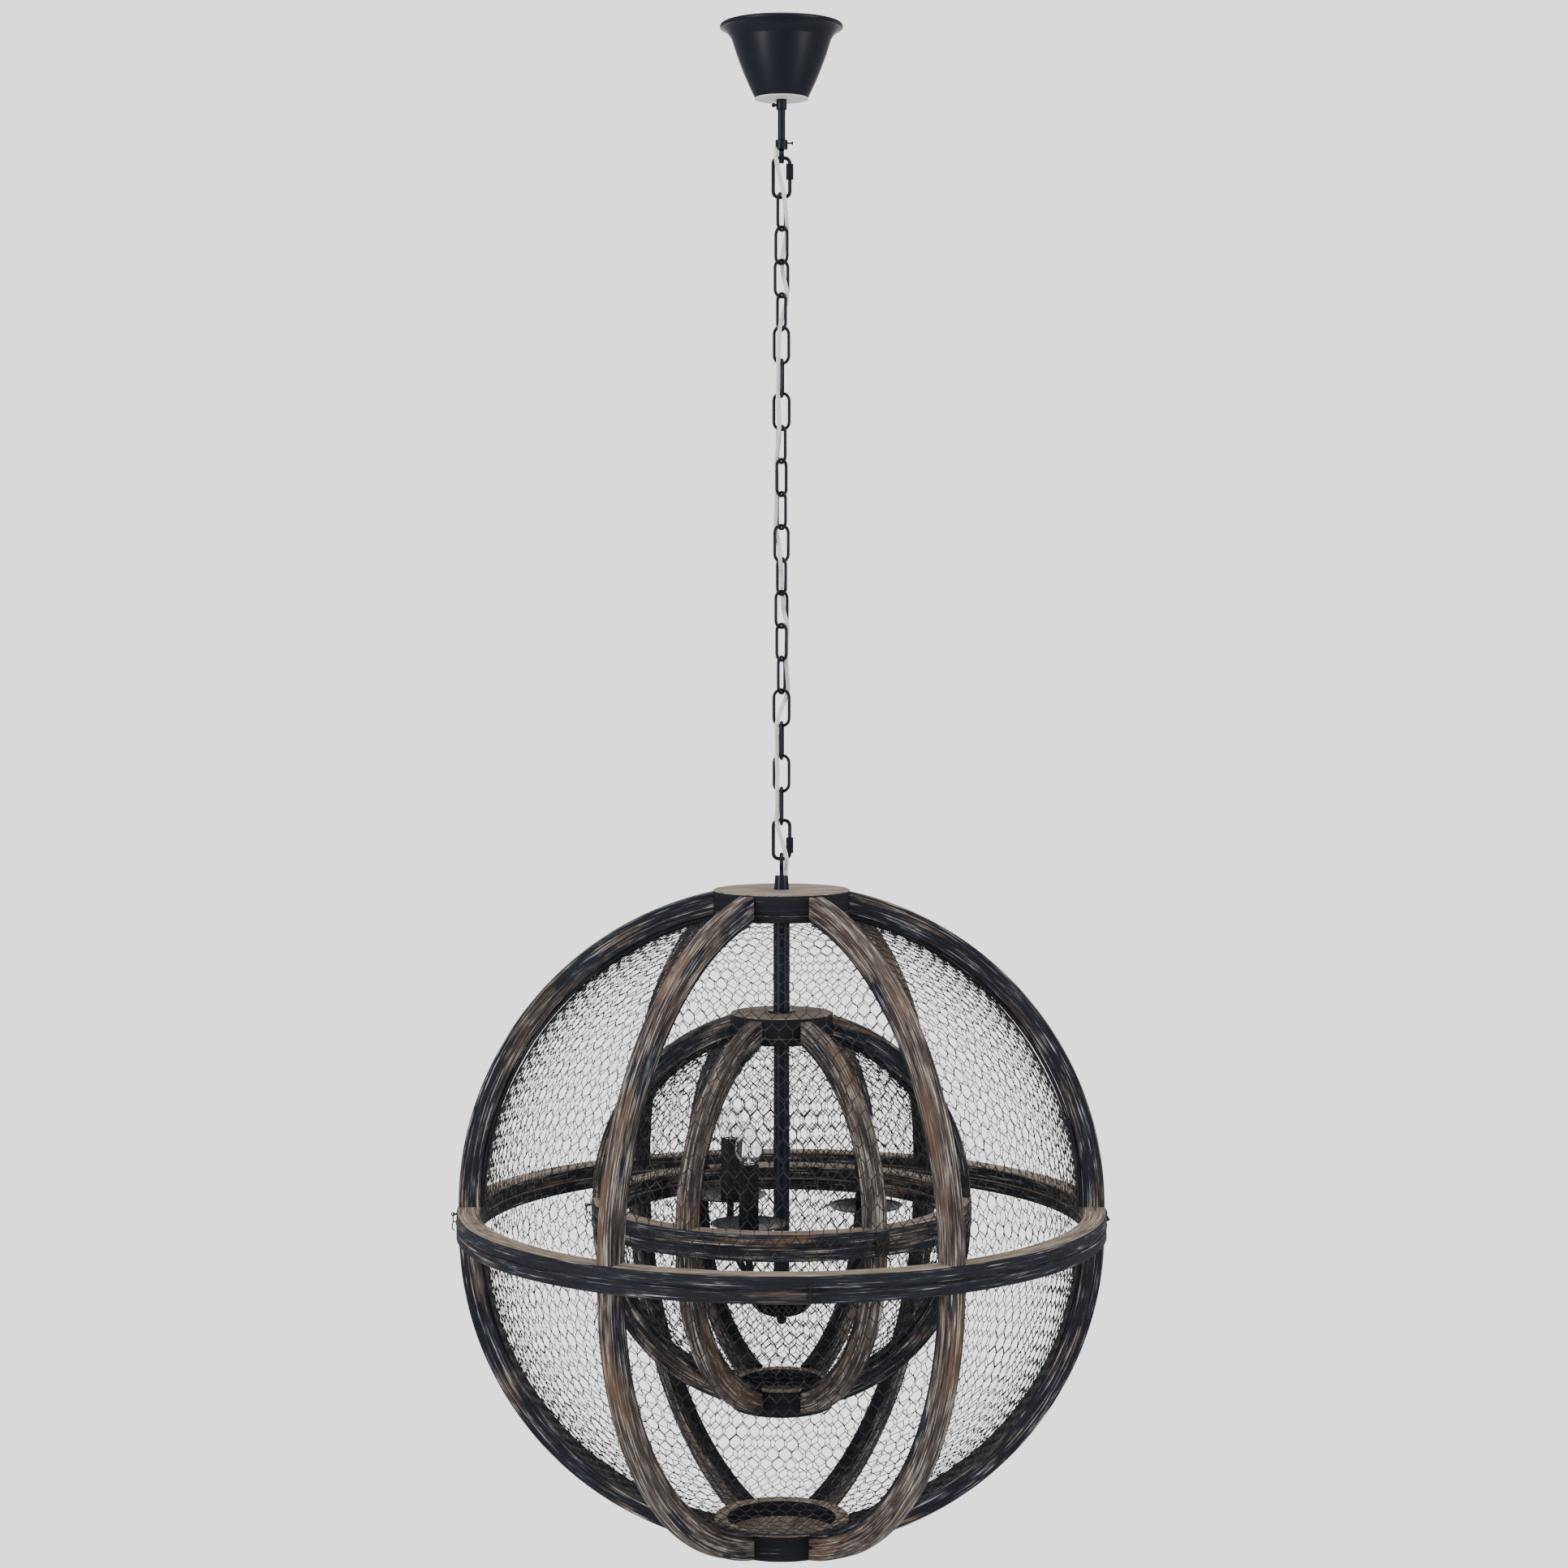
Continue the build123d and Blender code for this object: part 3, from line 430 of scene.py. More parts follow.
# %% Ribs
RIB_FACES = (0.75, 0.42, 0.3, 0.42)  # outer, side, inner, side
# painted shade: these batten tones sit well below the rib's, darkening the batten for the shadow that falls
# inside each rib as well as for its stain
BATTEN_TONES_WITH_SHADE = (0.0, -0.2, -0.35, -0.2)
BATTEN_DEPTH = 0.0039
BATTEN_WIDTH = 0.014
for orb, sizes in ORBS.items():
    radius, depth, width = sizes["rib"]
    for half, up in (("upper", True), ("lower", False)):
        body = "orb" if up else orb + "_lower_half"
        ring_z = sizes["upper_z"] if up else sizes["lower_z"]
        piece = ribs("%s_%s_wood_ribs" % (orb, half), "%s_%s_ribs" % (orb, half), radius, depth, width,
                     sizes["hub_r"], ring_z, up, RIB_FACES)
        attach(piece, body)
        strip = ribs("%s_%s_battens" % (orb, half), None, radius - depth, BATTEN_DEPTH, BATTEN_WIDTH,
                     sizes["hub_r"], ring_z, up, BATTEN_TONES_WITH_SHADE, step=0.008, deep=0.0005)
        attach(strip, body)
        print(piece.name, len(piece.data.polygons), "faces")

# %% [markdown]
# ## Rings
#
# The rings where the halves meet are flat wooden hoops, cut from boards, so their
# top faces are pale and their edges dark. The same brushed section is carried
# once round a circle. The depth of a groove is read on a circle in a noise field,
# so the ring closes without a step.

# %% Hoop builder
def hoop(name, node, radius, width, low, high, tones, step=0.006, deep=0.0007):
    """A flat wooden ring: a brushed rectangle carried round the axis."""
    thick = high - low
    section = bar_section(width, thick)
    rng = random.Random(name)
    seed = rng.random() * 90
    depths = groove_depths(section, rng, deep)
    count = round(2 * math.pi * radius / step)
    middle = (low + high) / 2
    rows, us = [], []
    for index in range(count):
        angle = 2 * math.pi * index / count
        row = []
        for (inward, rise, face, spot), cut in zip(section, depths):
            wave = noise.noise(Vector((math.cos(angle) * 2.4, math.sin(angle) * 2.4, spot * 120 + seed)))
            fine = noise.noise(Vector((math.cos(angle) * 9, math.sin(angle) * 9, spot * 260 + seed)))
            worn = cut * max(0.0, 0.5 + 0.6 * wave + 0.5 * fine)
            at_r, z = radius - inward, rise
            if face == 0:
                at_r -= worn
            elif face == 2:
                at_r += worn * 0.5
            else:
                z -= math.copysign(worn * 0.5, rise)
            row.append((at_r * math.cos(angle), at_r * math.sin(angle), middle + z))
        rows.append(row)
        us.append(seed + angle * radius)
    tones = [tones[face] for _, _, face, _ in section]
    piece = grain_piece(name, [(rows, us, [spot for *_, spot in section], tones, True)])
    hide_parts(node)
    return piece


SAWN = 2.0  # the tone of bare sawn faces
TRUING = 0.00005  # keeps the hoop's corners inside its box
for orb, sizes in ORBS.items():
    for half, body in (("upper", "orb"), ("lower", orb + "_lower_half")):
        node = "%s_%s_ring" % (orb, half)
        low, high, ring_r = tops(node)
        face_tones = (sizes["edge_tone"], SAWN, 0.35, 0.3)
        piece = hoop("%s_wood" % node, node, ring_r - TRUING, sizes["ring_width"], low, high, face_tones)
        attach(piece, body)
        print(piece.name, len(piece.data.polygons), "faces")

# %% [markdown]
# ## Hubs
#
# Six ribs meet at a thick round block at each pole. The upper blocks are two
# boards glued flat, with a fine line between them, and the lower ones are a ring
# with a sunken floor. Turning a profile round the axis gives the form, and the
# corners are cut a little so that they catch the light like worn wood.

# %% Lathe
def worn_profile(corners, cut):
    """A closed (radius, height) outline whose sharp corners are cut back."""
    outline = []
    for number, corner in enumerate(corners):
        here = np.array(corner, float)
        for other in (corners[number - 1], corners[(number + 1) % len(corners)]):
            way = np.array(other, float) - here
            length = np.linalg.norm(way)
            outline.append(here + way * min(cut / length, 0.3))
    return outline


def turned_block(name, node, outline, tones, grain_turn, turns=144, wear_depth=0.0004):
    """A block turned from an outline, with straight board grain on its flat faces.

    The flat faces and the sides read their grain from places metres apart."""
    spaced = []
    for number, point in enumerate(outline):
        after = outline[(number + 1) % len(outline)]
        steps = max(1, round(np.linalg.norm(after - point) / 0.004))
        spaced += [point + (after - point) * step / steps for step in range(steps)]
    rows = []
    for index in range(turns):
        angle = 2 * math.pi * index / turns
        row = []
        for r, z in spaced:
            place = Vector((math.cos(angle) * 9, math.sin(angle) * 9, z * 300 + r * 100))
            at_r = r - abs(wear_depth * noise.noise(place))
            row.append((at_r * math.cos(angle), at_r * math.sin(angle), z))
        rows.append(row)
    piece = new_piece(name, [p for row in rows for p in row], skin(rows, close_rows=True))
    mesh = piece.data
    turn_outwards(mesh)
    mesh.polygons.foreach_set("use_smooth", [False] * len(mesh.polygons))
    grain = mesh.uv_layers.new(name="grain")
    tone = mesh.attributes.new("tone", "FLOAT", "FACE")
    for face in mesh.polygons:
        flat = abs(face.normal.z) > 0.6
        middle = math.atan2(face.center.y, face.center.x)
        for loop in face.loop_indices:
            x, y, z = mesh.vertices[mesh.loops[loop].vertex_index].co
            if flat:
                c, s = math.cos(grain_turn), math.sin(grain_turn)
                grain.data[loop].uv = (x * c + y * s + 3, y * c - x * s + z + 5)
            else:
                angle = middle + math.remainder(math.atan2(y, x) - middle, 2 * math.pi)
                grain.data[loop].uv = (angle * math.hypot(x, y) + 9, z)
        tone.data[face.index].value = tones[0] if face.normal.z > 0.6 else tones[1]
    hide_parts(node)
    return piece


HUB_BORE = 0.004
TRAY_HOLE = 0.0035
TRAY_FLOOR = 0.008
LINE_HALF = 0.0006  # half the height of the fine line between two boards
HUB_TONES = (SAWN, -0.7)  # the sawn tops, and the stained sides
for orb, sizes in ORBS.items():
    low, high, _ = tops(orb + "_top_hub")
    line = high - sizes["board_line"]
    radius = sizes["hub_r"]
    outline = worn_profile([(HUB_BORE, high), (radius, high), (radius, line + LINE_HALF),
                            (radius - 0.0007, line), (radius, line - LINE_HALF), (radius, low),
                            (HUB_BORE, low)], 0.0009)
    piece = turned_block(orb + "_top_hub_wood", orb + "_top_hub", outline, HUB_TONES, 0.3)
    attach(piece, "orb")
    low, high, _ = tops(orb + "_bottom_hub")
    tray = sizes["tray_r"]
    outline = worn_profile([(TRAY_HOLE, low + TRAY_FLOOR), (TRAY_HOLE, low), (radius, low), (radius, high),
                            (tray, high), (tray, low + TRAY_FLOOR)], 0.0008)
    piece = turned_block(orb + "_bottom_hub_wood", orb + "_bottom_hub", outline, HUB_TONES, 1.2)
    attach(piece, orb + "_lower_half")
print("hubs made")

# %% [markdown]
# ## Hexagonal netting
#
# The netting is woven flat on a machine: two wires are twisted together for one
# side of each cell and part again for the next. Six gores of it are stretched
# over the battens of every half, none of them quite upright. Here a flat lattice
# is turned a little, then wrapped on the dome the way map makers wrap a
# sinusoidal strip: heights keep their distance along the dome, and widths keep
# theirs at every height, so cells stay the same size and only lean over near the
# ribs. A see-through texture would be far lighter, but it can't be seen edge on,
# and it has no twist.

# %% Cells of the flat netting
NET_PITCH = 0.0123
TWIST_LENGTH = 0.0071
SLANT_RISE = 0.0072
WIRE_R = 0.00050
STRAND_R = 0.00026
STRAND_CORNERS = (0.0, 2.1, 4.2)  # radians: a strand is so thin that three sides are enough
GORE_TILTS = (-6.0, 7.0, -5.0, 11.0, 1.0, -11.0)  # degrees, from the right side round to the front


def lattice(half_width, rise, tilt):
    """Wires of tilted flat netting, each as its two ends and whether it is a twisted side."""
    turn = Matrix.Rotation(math.radians(-tilt), 2)
    spare = 0.012 + abs(math.sin(math.radians(tilt))) * rise
    columns = math.ceil((half_width + spare) / NET_PITCH)
    row_rise = TWIST_LENGTH + SLANT_RISE
    wires = []
    for row in range(-math.ceil(spare / row_rise), math.ceil((rise + spare) / row_rise)):
        foot = row * row_rise
        for column in range(-columns, columns + 1):
            x = (column + 0.5 * (row % 2)) * NET_PITCH
            head = turn @ Vector((x, foot + TWIST_LENGTH))
            wires.append((turn @ Vector((x, foot)), head, True))
            for side in (-1, 1):
                wires.append((head, turn @ Vector((x + side * NET_PITCH / 2, foot + row_rise)), False))
    return wires


print("wires in flat netting of 0.3 m by 0.3 m", len(lattice(0.15, 0.3, GORE_TILTS[0])))

# %% One wire
def wire_rows(start, end, outward, twisted):
    """The wire's skins: one plain bar, or two strands twisted round each other."""
    way = (end - start) / np.linalg.norm(end - start)
    across = np.cross(way, outward)
    across /= np.linalg.norm(across)
    lift = np.cross(across, way)
    if not twisted:
        corners = [across * WIRE_R, lift * WIRE_R, -across * WIRE_R, -lift * WIRE_R]
        overlap = way * 0.0002
        return [[[place + corner for corner in corners] for place in (start - overlap, end + overlap)]]
    strands = []
    for phase in (0.0, math.pi):
        rows = []
        for step in range(5):
            turn = phase + step * 0.3 * math.pi
            middle = start + (end - start) * step / 4
            middle = middle + (across * math.cos(turn) + lift * math.sin(turn)) * STRAND_R
            rows.append([middle + (across * math.cos(a) + lift * math.sin(a)) * STRAND_R * 1.15
                         for a in (turn + corner for corner in STRAND_CORNERS)])
        strands.append(rows)
    return strands


print("a twisted side has", len(wire_rows(np.zeros(3), np.ones(3), np.array((1.0, 0, 0)), True)), "strands")

# %% Net of one half
SHORTEST_WIRE = 0.0008
PULLED_ACROSS = (0.0016, 0.0004)  # how far the netting is out of true, in long and in short waves
PULLED_UP = 0.0012
SLACK = 0.0006  # how far it hangs inwards at least
DENTS = 0.0003
NET_END = 0.0005  # it ends this far before the hub


def wire_net(name, node, radius, rise, ring_z, up, seed):
    """Hexagonal wire netting inside one half of an orb, in gores of a sixth of a turn."""
    top = radius * math.asin(rise / radius)
    points, faces = [], []
    for gore, tilt in enumerate(GORE_TILTS):
        centre = math.radians(60 * gore + 30)
        drift = random.Random(seed + gore).random() * 50

        def wrapped(x, y):
            """A place of the flat netting, pulled a little out of true and laid on the dome."""
            lean = Vector((x * 14, y * 14, drift))
            x += PULLED_ACROSS[0] * noise.noise(lean) + PULLED_ACROSS[1] * noise.noise(lean * 9)
            y += PULLED_UP * noise.noise(lean + Vector((9, 4, 0)))
            dent = SLACK + DENTS * (1 + noise.noise(Vector((x * 30, y * 30, drift + 20))))
            height = y / radius
            angle = centre + x / (radius * math.cos(height))
            at_r = (radius - dent) * math.cos(height)
            z = (radius - dent) * math.sin(height)
            return np.array((at_r * math.cos(angle), at_r * math.sin(angle), ring_z + (z if up else -z)))

        for (x0, y0), (x1, y1), twisted in lattice(radius * math.pi / 6, top, tilt):
            inside = [abs(x) <= radius * math.cos(y / radius) * math.pi / 6 for x, y in ((x0, y0), (x1, y1))]
            if not any(inside) or y1 <= 0 or y0 >= top:
                continue
            low, high = max(0.0, -y0 / (y1 - y0)), min(1.0, (top - y0) / (y1 - y0))
            ends = [wrapped(x0 + (x1 - x0) * t, y0 + (y1 - y0) * t) for t in (low, high)]
            if np.linalg.norm(ends[1] - ends[0]) < SHORTEST_WIRE:
                continue
            outward = ends[0] - np.array((0, 0, ring_z))
            for rows in wire_rows(*ends, outward / np.linalg.norm(outward), twisted):
                faces += skin(rows, first=len(points))
                points += [p for row in rows for p in row]
    piece = new_piece(name, points, faces)
    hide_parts(node)
    return piece


for orb, sizes in ORBS.items():
    radius, depth, _ = sizes["rib"]
    net_r = radius - depth - sizes["net_inset"]
    for half, up in (("upper", True), ("lower", False)):
        node = "%s_%s_net" % (orb, half)
        hub_low, hub_high, _ = tops(orb + ("_top_hub" if up else "_bottom_hub"))
        ring_z = sizes["upper_z"] if up else sizes["lower_z"]
        rise = abs((hub_low if up else hub_high) - ring_z) - NET_END
        piece = wire_net(node.replace("net", "wire_net"), node, net_r, rise, ring_z, up, len(node))
        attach(piece, "orb" if up else orb + "_lower_half")
        print(piece.name, len(piece.data.polygons), "faces")

# %% [markdown]
# ## Candle bulbs
#
# Each candle has a clear flame-shaped bulb. Glass only looks like glass when it
# has an inside, so the envelope is a thin shell turned from two profiles. The
# inside holds a glass stem with a thin filament loop, and the brass screw shell
# goes down into the sleeve.

# %% Turned shapes at each candle
BULB_BELLY = 0.38  # share of the glass's height where it is widest
CANDLE_CIRCLE = 0.083
CANDLE_AZIMUTHS = (8, 128, 248)
GLASS_R = 0.0130
GLASS_FOOT_R = 0.0054
GLASS_WALL = 0.0005
GLASS_SUNK = 0.0005  # the glass starts this far down in the sleeve
THREAD_ROOT_R = 0.0049
THREAD_CREST_R = 0.0054
THREAD_PITCH = 0.0022
NEAR_AXIS = 0.0001  # a turned outline stays this far from its own axis


def lathe(outline, centre, turns=40):
    """Rows of a closed (radius, height) outline turned round a vertical line."""
    x0, y0 = centre
    rows = []
    for index in range(turns):
        angle = 2 * math.pi * index / turns
        rows.append([(x0 + r * math.cos(angle), y0 + r * math.sin(angle), z) for r, z in outline])
    return rows


def flame(height, widest, foot, low, count=26):
    """Radii and heights of a candle bulb's glass, from its foot to its tip."""
    side = []
    for index in range(count + 1):
        t = index / count
        r = foot + (widest - foot) * math.sin(math.pi / 2 * min(1.0, t / BULB_BELLY)) ** 1.3
        if t > BULB_BELLY:
            r = widest * math.cos(math.pi / 2 * ((t - BULB_BELLY) / (1 - BULB_BELLY)) ** 1.25) ** 0.8
        side.append((max(r, 0.00005), low + height * t))
    return side


sleeve_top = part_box("candle_sleeves")[1][2]
bulb_foot, bulb_tip = [corner[2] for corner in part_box("candle_bulbs")]
CANDLES = [(CANDLE_CIRCLE * math.cos(math.radians(a)), CANDLE_CIRCLE * math.sin(math.radians(a)))
           for a in CANDLE_AZIMUTHS]
glass_height = bulb_tip - sleeve_top
outer = flame(glass_height, GLASS_R, GLASS_FOOT_R, sleeve_top - GLASS_SUNK)
inner = [(max(r - GLASS_WALL, 0.00004), z - 0.0003) for r, z in outer[1:-1]]
shell = [lathe(outer + inner[::-1], centre) for centre in CANDLES]
base_low = bulb_foot + 0.002
thread = [(THREAD_ROOT_R, base_low)]
for turn in range(5):
    z = bulb_foot + 0.003 + turn * THREAD_PITCH
    thread += [(THREAD_ROOT_R, z), (THREAD_CREST_R, z + THREAD_PITCH / 2)]
thread += [(0.0052, sleeve_top), (NEAR_AXIS, sleeve_top), (NEAR_AXIS, base_low)]
brass = [lathe(thread, centre) for centre in CANDLES]


def lathed_piece(name, all_rows, replaces=None):
    """One mesh from several turned shapes."""
    points, faces = [], []
    for rows in all_rows:
        faces += skin(rows, close_rows=True, first=len(points))
        points += [p for row in rows for p in row]
    piece = new_piece(name, points, faces)
    turn_outwards(piece.data)
    if replaces:
        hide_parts(replaces)
    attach(piece, "orb")
    return piece


bulb_glass = lathed_piece("bulb_glass", shell, "candle_bulbs")
bulb_base = lathed_piece("bulb_screw_shells", brass, "candle_bulbs")
print("bulb glass is", round(glass_height, 4), "m tall")

# %% Filaments
STEM_OUTLINE = [(NEAR_AXIS, 0.0), (0.0024, 0.0), (0.0016, 0.006), (0.0006, 0.010), (NEAR_AXIS, 0.0105)]
LOOP_HALF_WIDTH = 0.0030
LOOP_HALF_HEIGHT = 0.0045
LOOP_MIDDLE = 0.014
LEG_APART = 0.0006
LEG_FOOT = 0.009
FILAMENT_R = 0.00012
circle = [(FILAMENT_R * math.cos(a), FILAMENT_R * math.sin(a))
          for a in (math.radians(60 * k) for k in range(6))]
stems, wires = [], []
for x0, y0 in CANDLES:
    z = sleeve_top
    stems.append(lathe([(r, z + height) for r, height in STEM_OUTLINE], (x0, y0), 16))
    loop = [(x0 + LOOP_HALF_WIDTH * math.cos(a), y0, z + LOOP_MIDDLE + LOOP_HALF_HEIGHT * math.sin(a))
            for a in (math.radians(-80 + 20 * k) for k in range(16))]
    legs = [(x0 + side * LEG_APART, y0, z + LEG_FOOT) for side in (-1, 1)]
    wires.append(tube([legs[0]] + loop + [legs[1]], circle))
bulb_stems = lathed_piece("bulb_stems", stems)
points, faces = [], []
for rows in wires:
    faces += skin(rows, first=len(points))
    points += [p for row in rows for p in row]
filaments = new_piece("bulb_filaments", points, faces)
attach(filaments, "orb")
print("filaments", len(wires))

# %% [markdown]
# ## Shader maths
#
# A Principled shader gets its colour and roughness from small sums and products.
# Written as nodes they are long, so a wrapped socket turns Python operators into
# Math nodes. One method adds every other kind of node.

# %% Sockets that add up
class Value:
    """A shader socket. Operators on it add Math nodes to its material."""

    def __init__(self, finish, socket):
        self.finish = finish
        self.socket = socket

    def __add__(self, other):
        return self.finish.maths("ADD", self, other)

    def __radd__(self, other):
        return self.finish.maths("ADD", other, self)

    def __sub__(self, other):
        return self.finish.maths("SUBTRACT", self, other)

    def __rsub__(self, other):
        return self.finish.maths("SUBTRACT", other, self)

    def __mul__(self, other):
        return self.finish.maths("MULTIPLY", self, other)

    def __rmul__(self, other):
        return self.finish.maths("MULTIPLY", other, self)


class Finish:
    """A material made of one Principled shader and the nodes that feed it."""

    def __init__(self, name, **surface):
        self.material = bpy.data.materials.new(name)
        self.material.use_nodes = True
        self.tree = self.material.node_tree
        self.tree.nodes.clear()
        self.shader = self.tree.nodes.new("ShaderNodeBsdfPrincipled")
        out = self.tree.nodes.new("ShaderNodeOutputMaterial")
        self.tree.links.new(self.shader.outputs[0], out.inputs["Surface"])
        self.surface(**surface)

    def feed(self, socket, value):
        """Link a value to a socket, or set the socket's own number or colour."""
        if isinstance(value, Value):
            self.tree.links.new(value.socket, socket)
        else:
            socket.default_value = value

    def node(self, kind, settings=None, inputs=None, output=0):
        """Add a node: its type, its settings, then the values or links of its sockets."""
        made = self.tree.nodes.new("ShaderNode" + kind)
        for key, value in (settings or {}).items():
            if key == "stops":
                ramp = made.color_ramp
                while len(ramp.elements) < len(value):
                    ramp.elements.new(0.5)
                for element, (place, colour) in zip(ramp.elements, value):
                    element.position = place
                    element.color = (*colour, 1.0)
            else:
                setattr(made, key, value)
        for key, value in (inputs or {}).items():
            self.feed(made.inputs[key], value)
        return Value(self, made.outputs[output])

    def maths(self, operation, *values):
        """A Math node on one or two values."""
        return self.node("Math", {"operation": operation}, dict(enumerate(values)))

    def surface(self, **values):
        """Give sockets of the Principled shader, such as base_color, a value or a link."""
        for key, value in values.items():
            name = key.replace("_", " ").title().replace("Ior", "IOR")
            if isinstance(value, tuple) and len(value) == 3 and "Color" in name:
                value = (*value, 1.0)
            self.feed(self.shader.inputs[name], value)

    def mix(self, first, second, factor):
        """A colour between two colours."""
        first, second = [(*c, 1.0) if isinstance(c, tuple) else c for c in (first, second)]
        return self.node("Mix", {"data_type": "RGBA"}, {0: factor, 6: first, 7: second}, 2)

    def step(self, value, low, high):
        """0 below low and 1 above high, with a smooth change between."""
        settings = {"interpolation_type": "SMOOTHSTEP"}
        return self.node("MapRange", settings, {"Value": value, "From Min": low, "From Max": high})

    def clouds(self, place, scale, stretch=(1, 1, 1), detail=3.0, rough=0.55):
        """Noise on stretched coordinates."""
        place = self.node("VectorMath", {"operation": "MULTIPLY"}, {0: place, 1: stretch})
        inputs = {"Vector": place, "Scale": scale, "Detail": detail, "Roughness": rough}
        return self.node("TexNoise", None, inputs)

    def bump(self, height, distance, strength=1.0):
        """Feed a height, in metres times distance, to the surface's normal."""
        inputs = {"Height": height, "Distance": distance, "Strength": strength}
        self.feed(self.shader.inputs["Normal"], self.node("Bump", None, inputs))

    def where(self):
        """Coordinates of the object, in metres."""
        return self.node("TexCoord", None, None, 3)


print("shader tools ready")

# %% [markdown]
# ## Aged wood
#
# The wood was stained blue-black, rubbed back to brown in patches, then limed
# along the grain, so that pale streaks lie over both. One value, `brushed_in`,
# says how much lime a fibre holds, and three ramps turn it into colour: on the
# stain, on the rubbed brown, and on the bare sawn tops. Patches with abrupt edges
# choose between the first two, and the "tone" of a face moves them. The grain map
# is in metres along the fibres, so one material serves bent ribs, hoops and flat
# boards.

# %% Wood material
STAINED = [(0.0, (0.005, 0.006, 0.010)), (0.45, (0.012, 0.015, 0.025)), (0.66, (0.035, 0.040, 0.055)),
           (0.84, (0.15, 0.155, 0.165)), (1.0, (0.50, 0.50, 0.49))]
RUBBED = [(0.0, (0.012, 0.010, 0.011)), (0.28, (0.046, 0.034, 0.032)), (0.58, (0.105, 0.080, 0.068)),
          (0.80, (0.20, 0.168, 0.140)), (1.0, (0.52, 0.49, 0.43))]
BARE = [(0.0, (0.10, 0.078, 0.060)), (0.35, (0.235, 0.18, 0.132)), (0.70, (0.35, 0.275, 0.205)),
        (1.0, (0.50, 0.45, 0.38))]
RUST = (0.175, 0.100, 0.048)


def aged_wood():
    """Stained and rubbed wood with lime in its grain."""
    wood = Finish("aged_wood", metallic=0.0, specular_ior_level=0.25)
    grain = wood.node("UVMap", {"uv_map": "grain"})
    tone = wood.node("Attribute", {"attribute_name": "tone"}, None, 2)
    patches = wood.clouds(grain, 1.0, (9, 42, 1), 2.0)
    blotches = wood.clouds(grain, 1.0, (34, 150, 1), 3.0)
    streaks = wood.clouds(grain, 1.0, (14, 690, 1), 3.0, 0.6)
    fibres = wood.clouds(grain, 1.0, (50, 1900, 1), 2.0, 0.6)
    shown = 0.12 * wood.maths("MINIMUM", tone, 0.8)
    brushed_in = wood.step(streaks + 0.42 * fibres + 0.45 * blotches + shown, 0.82, 1.24)
    stained = wood.node("ValToRGB", {"stops": STAINED}, {0: brushed_in})
    rubbed = wood.node("ValToRGB", {"stops": RUBBED}, {0: brushed_in})
    bare = wood.node("ValToRGB", {"stops": BARE}, {0: brushed_in})
    rust = wood.step(wood.clouds(grain, 1.0, (6, 34, 3), 1.0), 0.58, 0.63) * 0.6
    rubbed = wood.mix(rubbed, RUST, rust * (1 - 0.6 * brushed_in))
    worn = wood.step(patches + 0.30 * blotches + 0.30 * streaks + 0.26 * tone, 0.93, 1.01)
    colour = wood.mix(stained, rubbed, worn)
    colour = wood.mix(colour, bare, wood.step(tone, 1.6, 1.8) * 0.94)
    gaps = wood.step(0.75 * fibres - streaks, -0.05, 0.05)
    colour = wood.mix(colour, (0.006, 0.006, 0.008), 0.70 * gaps)
    wood.surface(base_color=colour, roughness=0.58 + 0.25 * brushed_in)
    wood.bump(streaks + 0.5 * fibres, 0.0012, 1.0)
    return wood.material


wood_material = aged_wood()
print("wood nodes", len(wood_material.node_tree.nodes))

# %% [markdown]
# ## Lacquered and other metal
#
# The canopy, chain and lamp fittings have a satin blue-black lacquer. It isn't a
# mirror and isn't flat: it has a faint orange-peel ripple and slightly uneven
# gloss. The netting is steel with a dull dark patina, and the hinges and hooks
# are dark bronze, rubbed bright in places.

# %% Metals
def lacquer(name, colour, light, rough, ripple):
    """Satin paint: two close colours, uneven gloss and a fine ripple."""
    paint = Finish(name, metallic=0.0, specular_ior_level=0.2, coat_roughness=0.3)
    where = paint.where()
    clouds = paint.clouds(where, 60.0, detail=3.0)
    specks = paint.clouds(where, 900.0, detail=2.0)
    worn = paint.step(specks + 0.4 * clouds, 0.92, 1.02)
    paint.surface(base_color=paint.mix(paint.mix(colour, light, clouds * 0.6), light, worn * 0.5),
                  roughness=rough + 0.14 * clouds, coat_weight=0.08)
    paint.bump(specks, ripple, 0.35)
    return paint.material


def patina(name, colour, light, rough, metal):
    """Bare metal under a dull skin that is rubbed bright in places."""
    skin_of = Finish(name, specular_ior_level=0.5)
    where = skin_of.where()
    clouds = skin_of.clouds(where, 130.0, detail=4.0)
    rubbed = skin_of.step(clouds, 0.5, 0.68)
    skin_of.surface(base_color=skin_of.mix(colour, light, rubbed), metallic=metal * (0.6 + 0.4 * rubbed),
                    roughness=rough - 0.18 * rubbed)
    skin_of.bump(skin_of.clouds(where, 1200.0, detail=2.0), 0.00012, 0.5)
    return skin_of.material


dark_lacquer = lacquer("dark_lacquer", (0.0018, 0.0030, 0.0095), (0.005, 0.0075, 0.018), 0.34, 0.00008)
net_patina = patina("net_patina", (0.012, 0.012, 0.014), (0.050, 0.049, 0.048), 0.62, 0.5)
aged_bronze = patina("aged_bronze", (0.010, 0.009, 0.009), (0.060, 0.045, 0.034), 0.58, 0.7)
zinc_plate = patina("zinc_plate", (0.42, 0.41, 0.37), (0.62, 0.60, 0.55), 0.42, 0.95)
brass_shell = patina("brass_shell", (0.45, 0.31, 0.12), (0.62, 0.46, 0.22), 0.38, 1.0)
print("metals made")

# %% [markdown]
# ## Plastics, cord and glass
#
# The sleeves are matt black tubes, the sockets in them black mouldings. The cord
# is clear PVC over tinned strands, so it looks silvery white with a soft shine,
# and a sine along it gives the fine slanting bands of the strands inside.

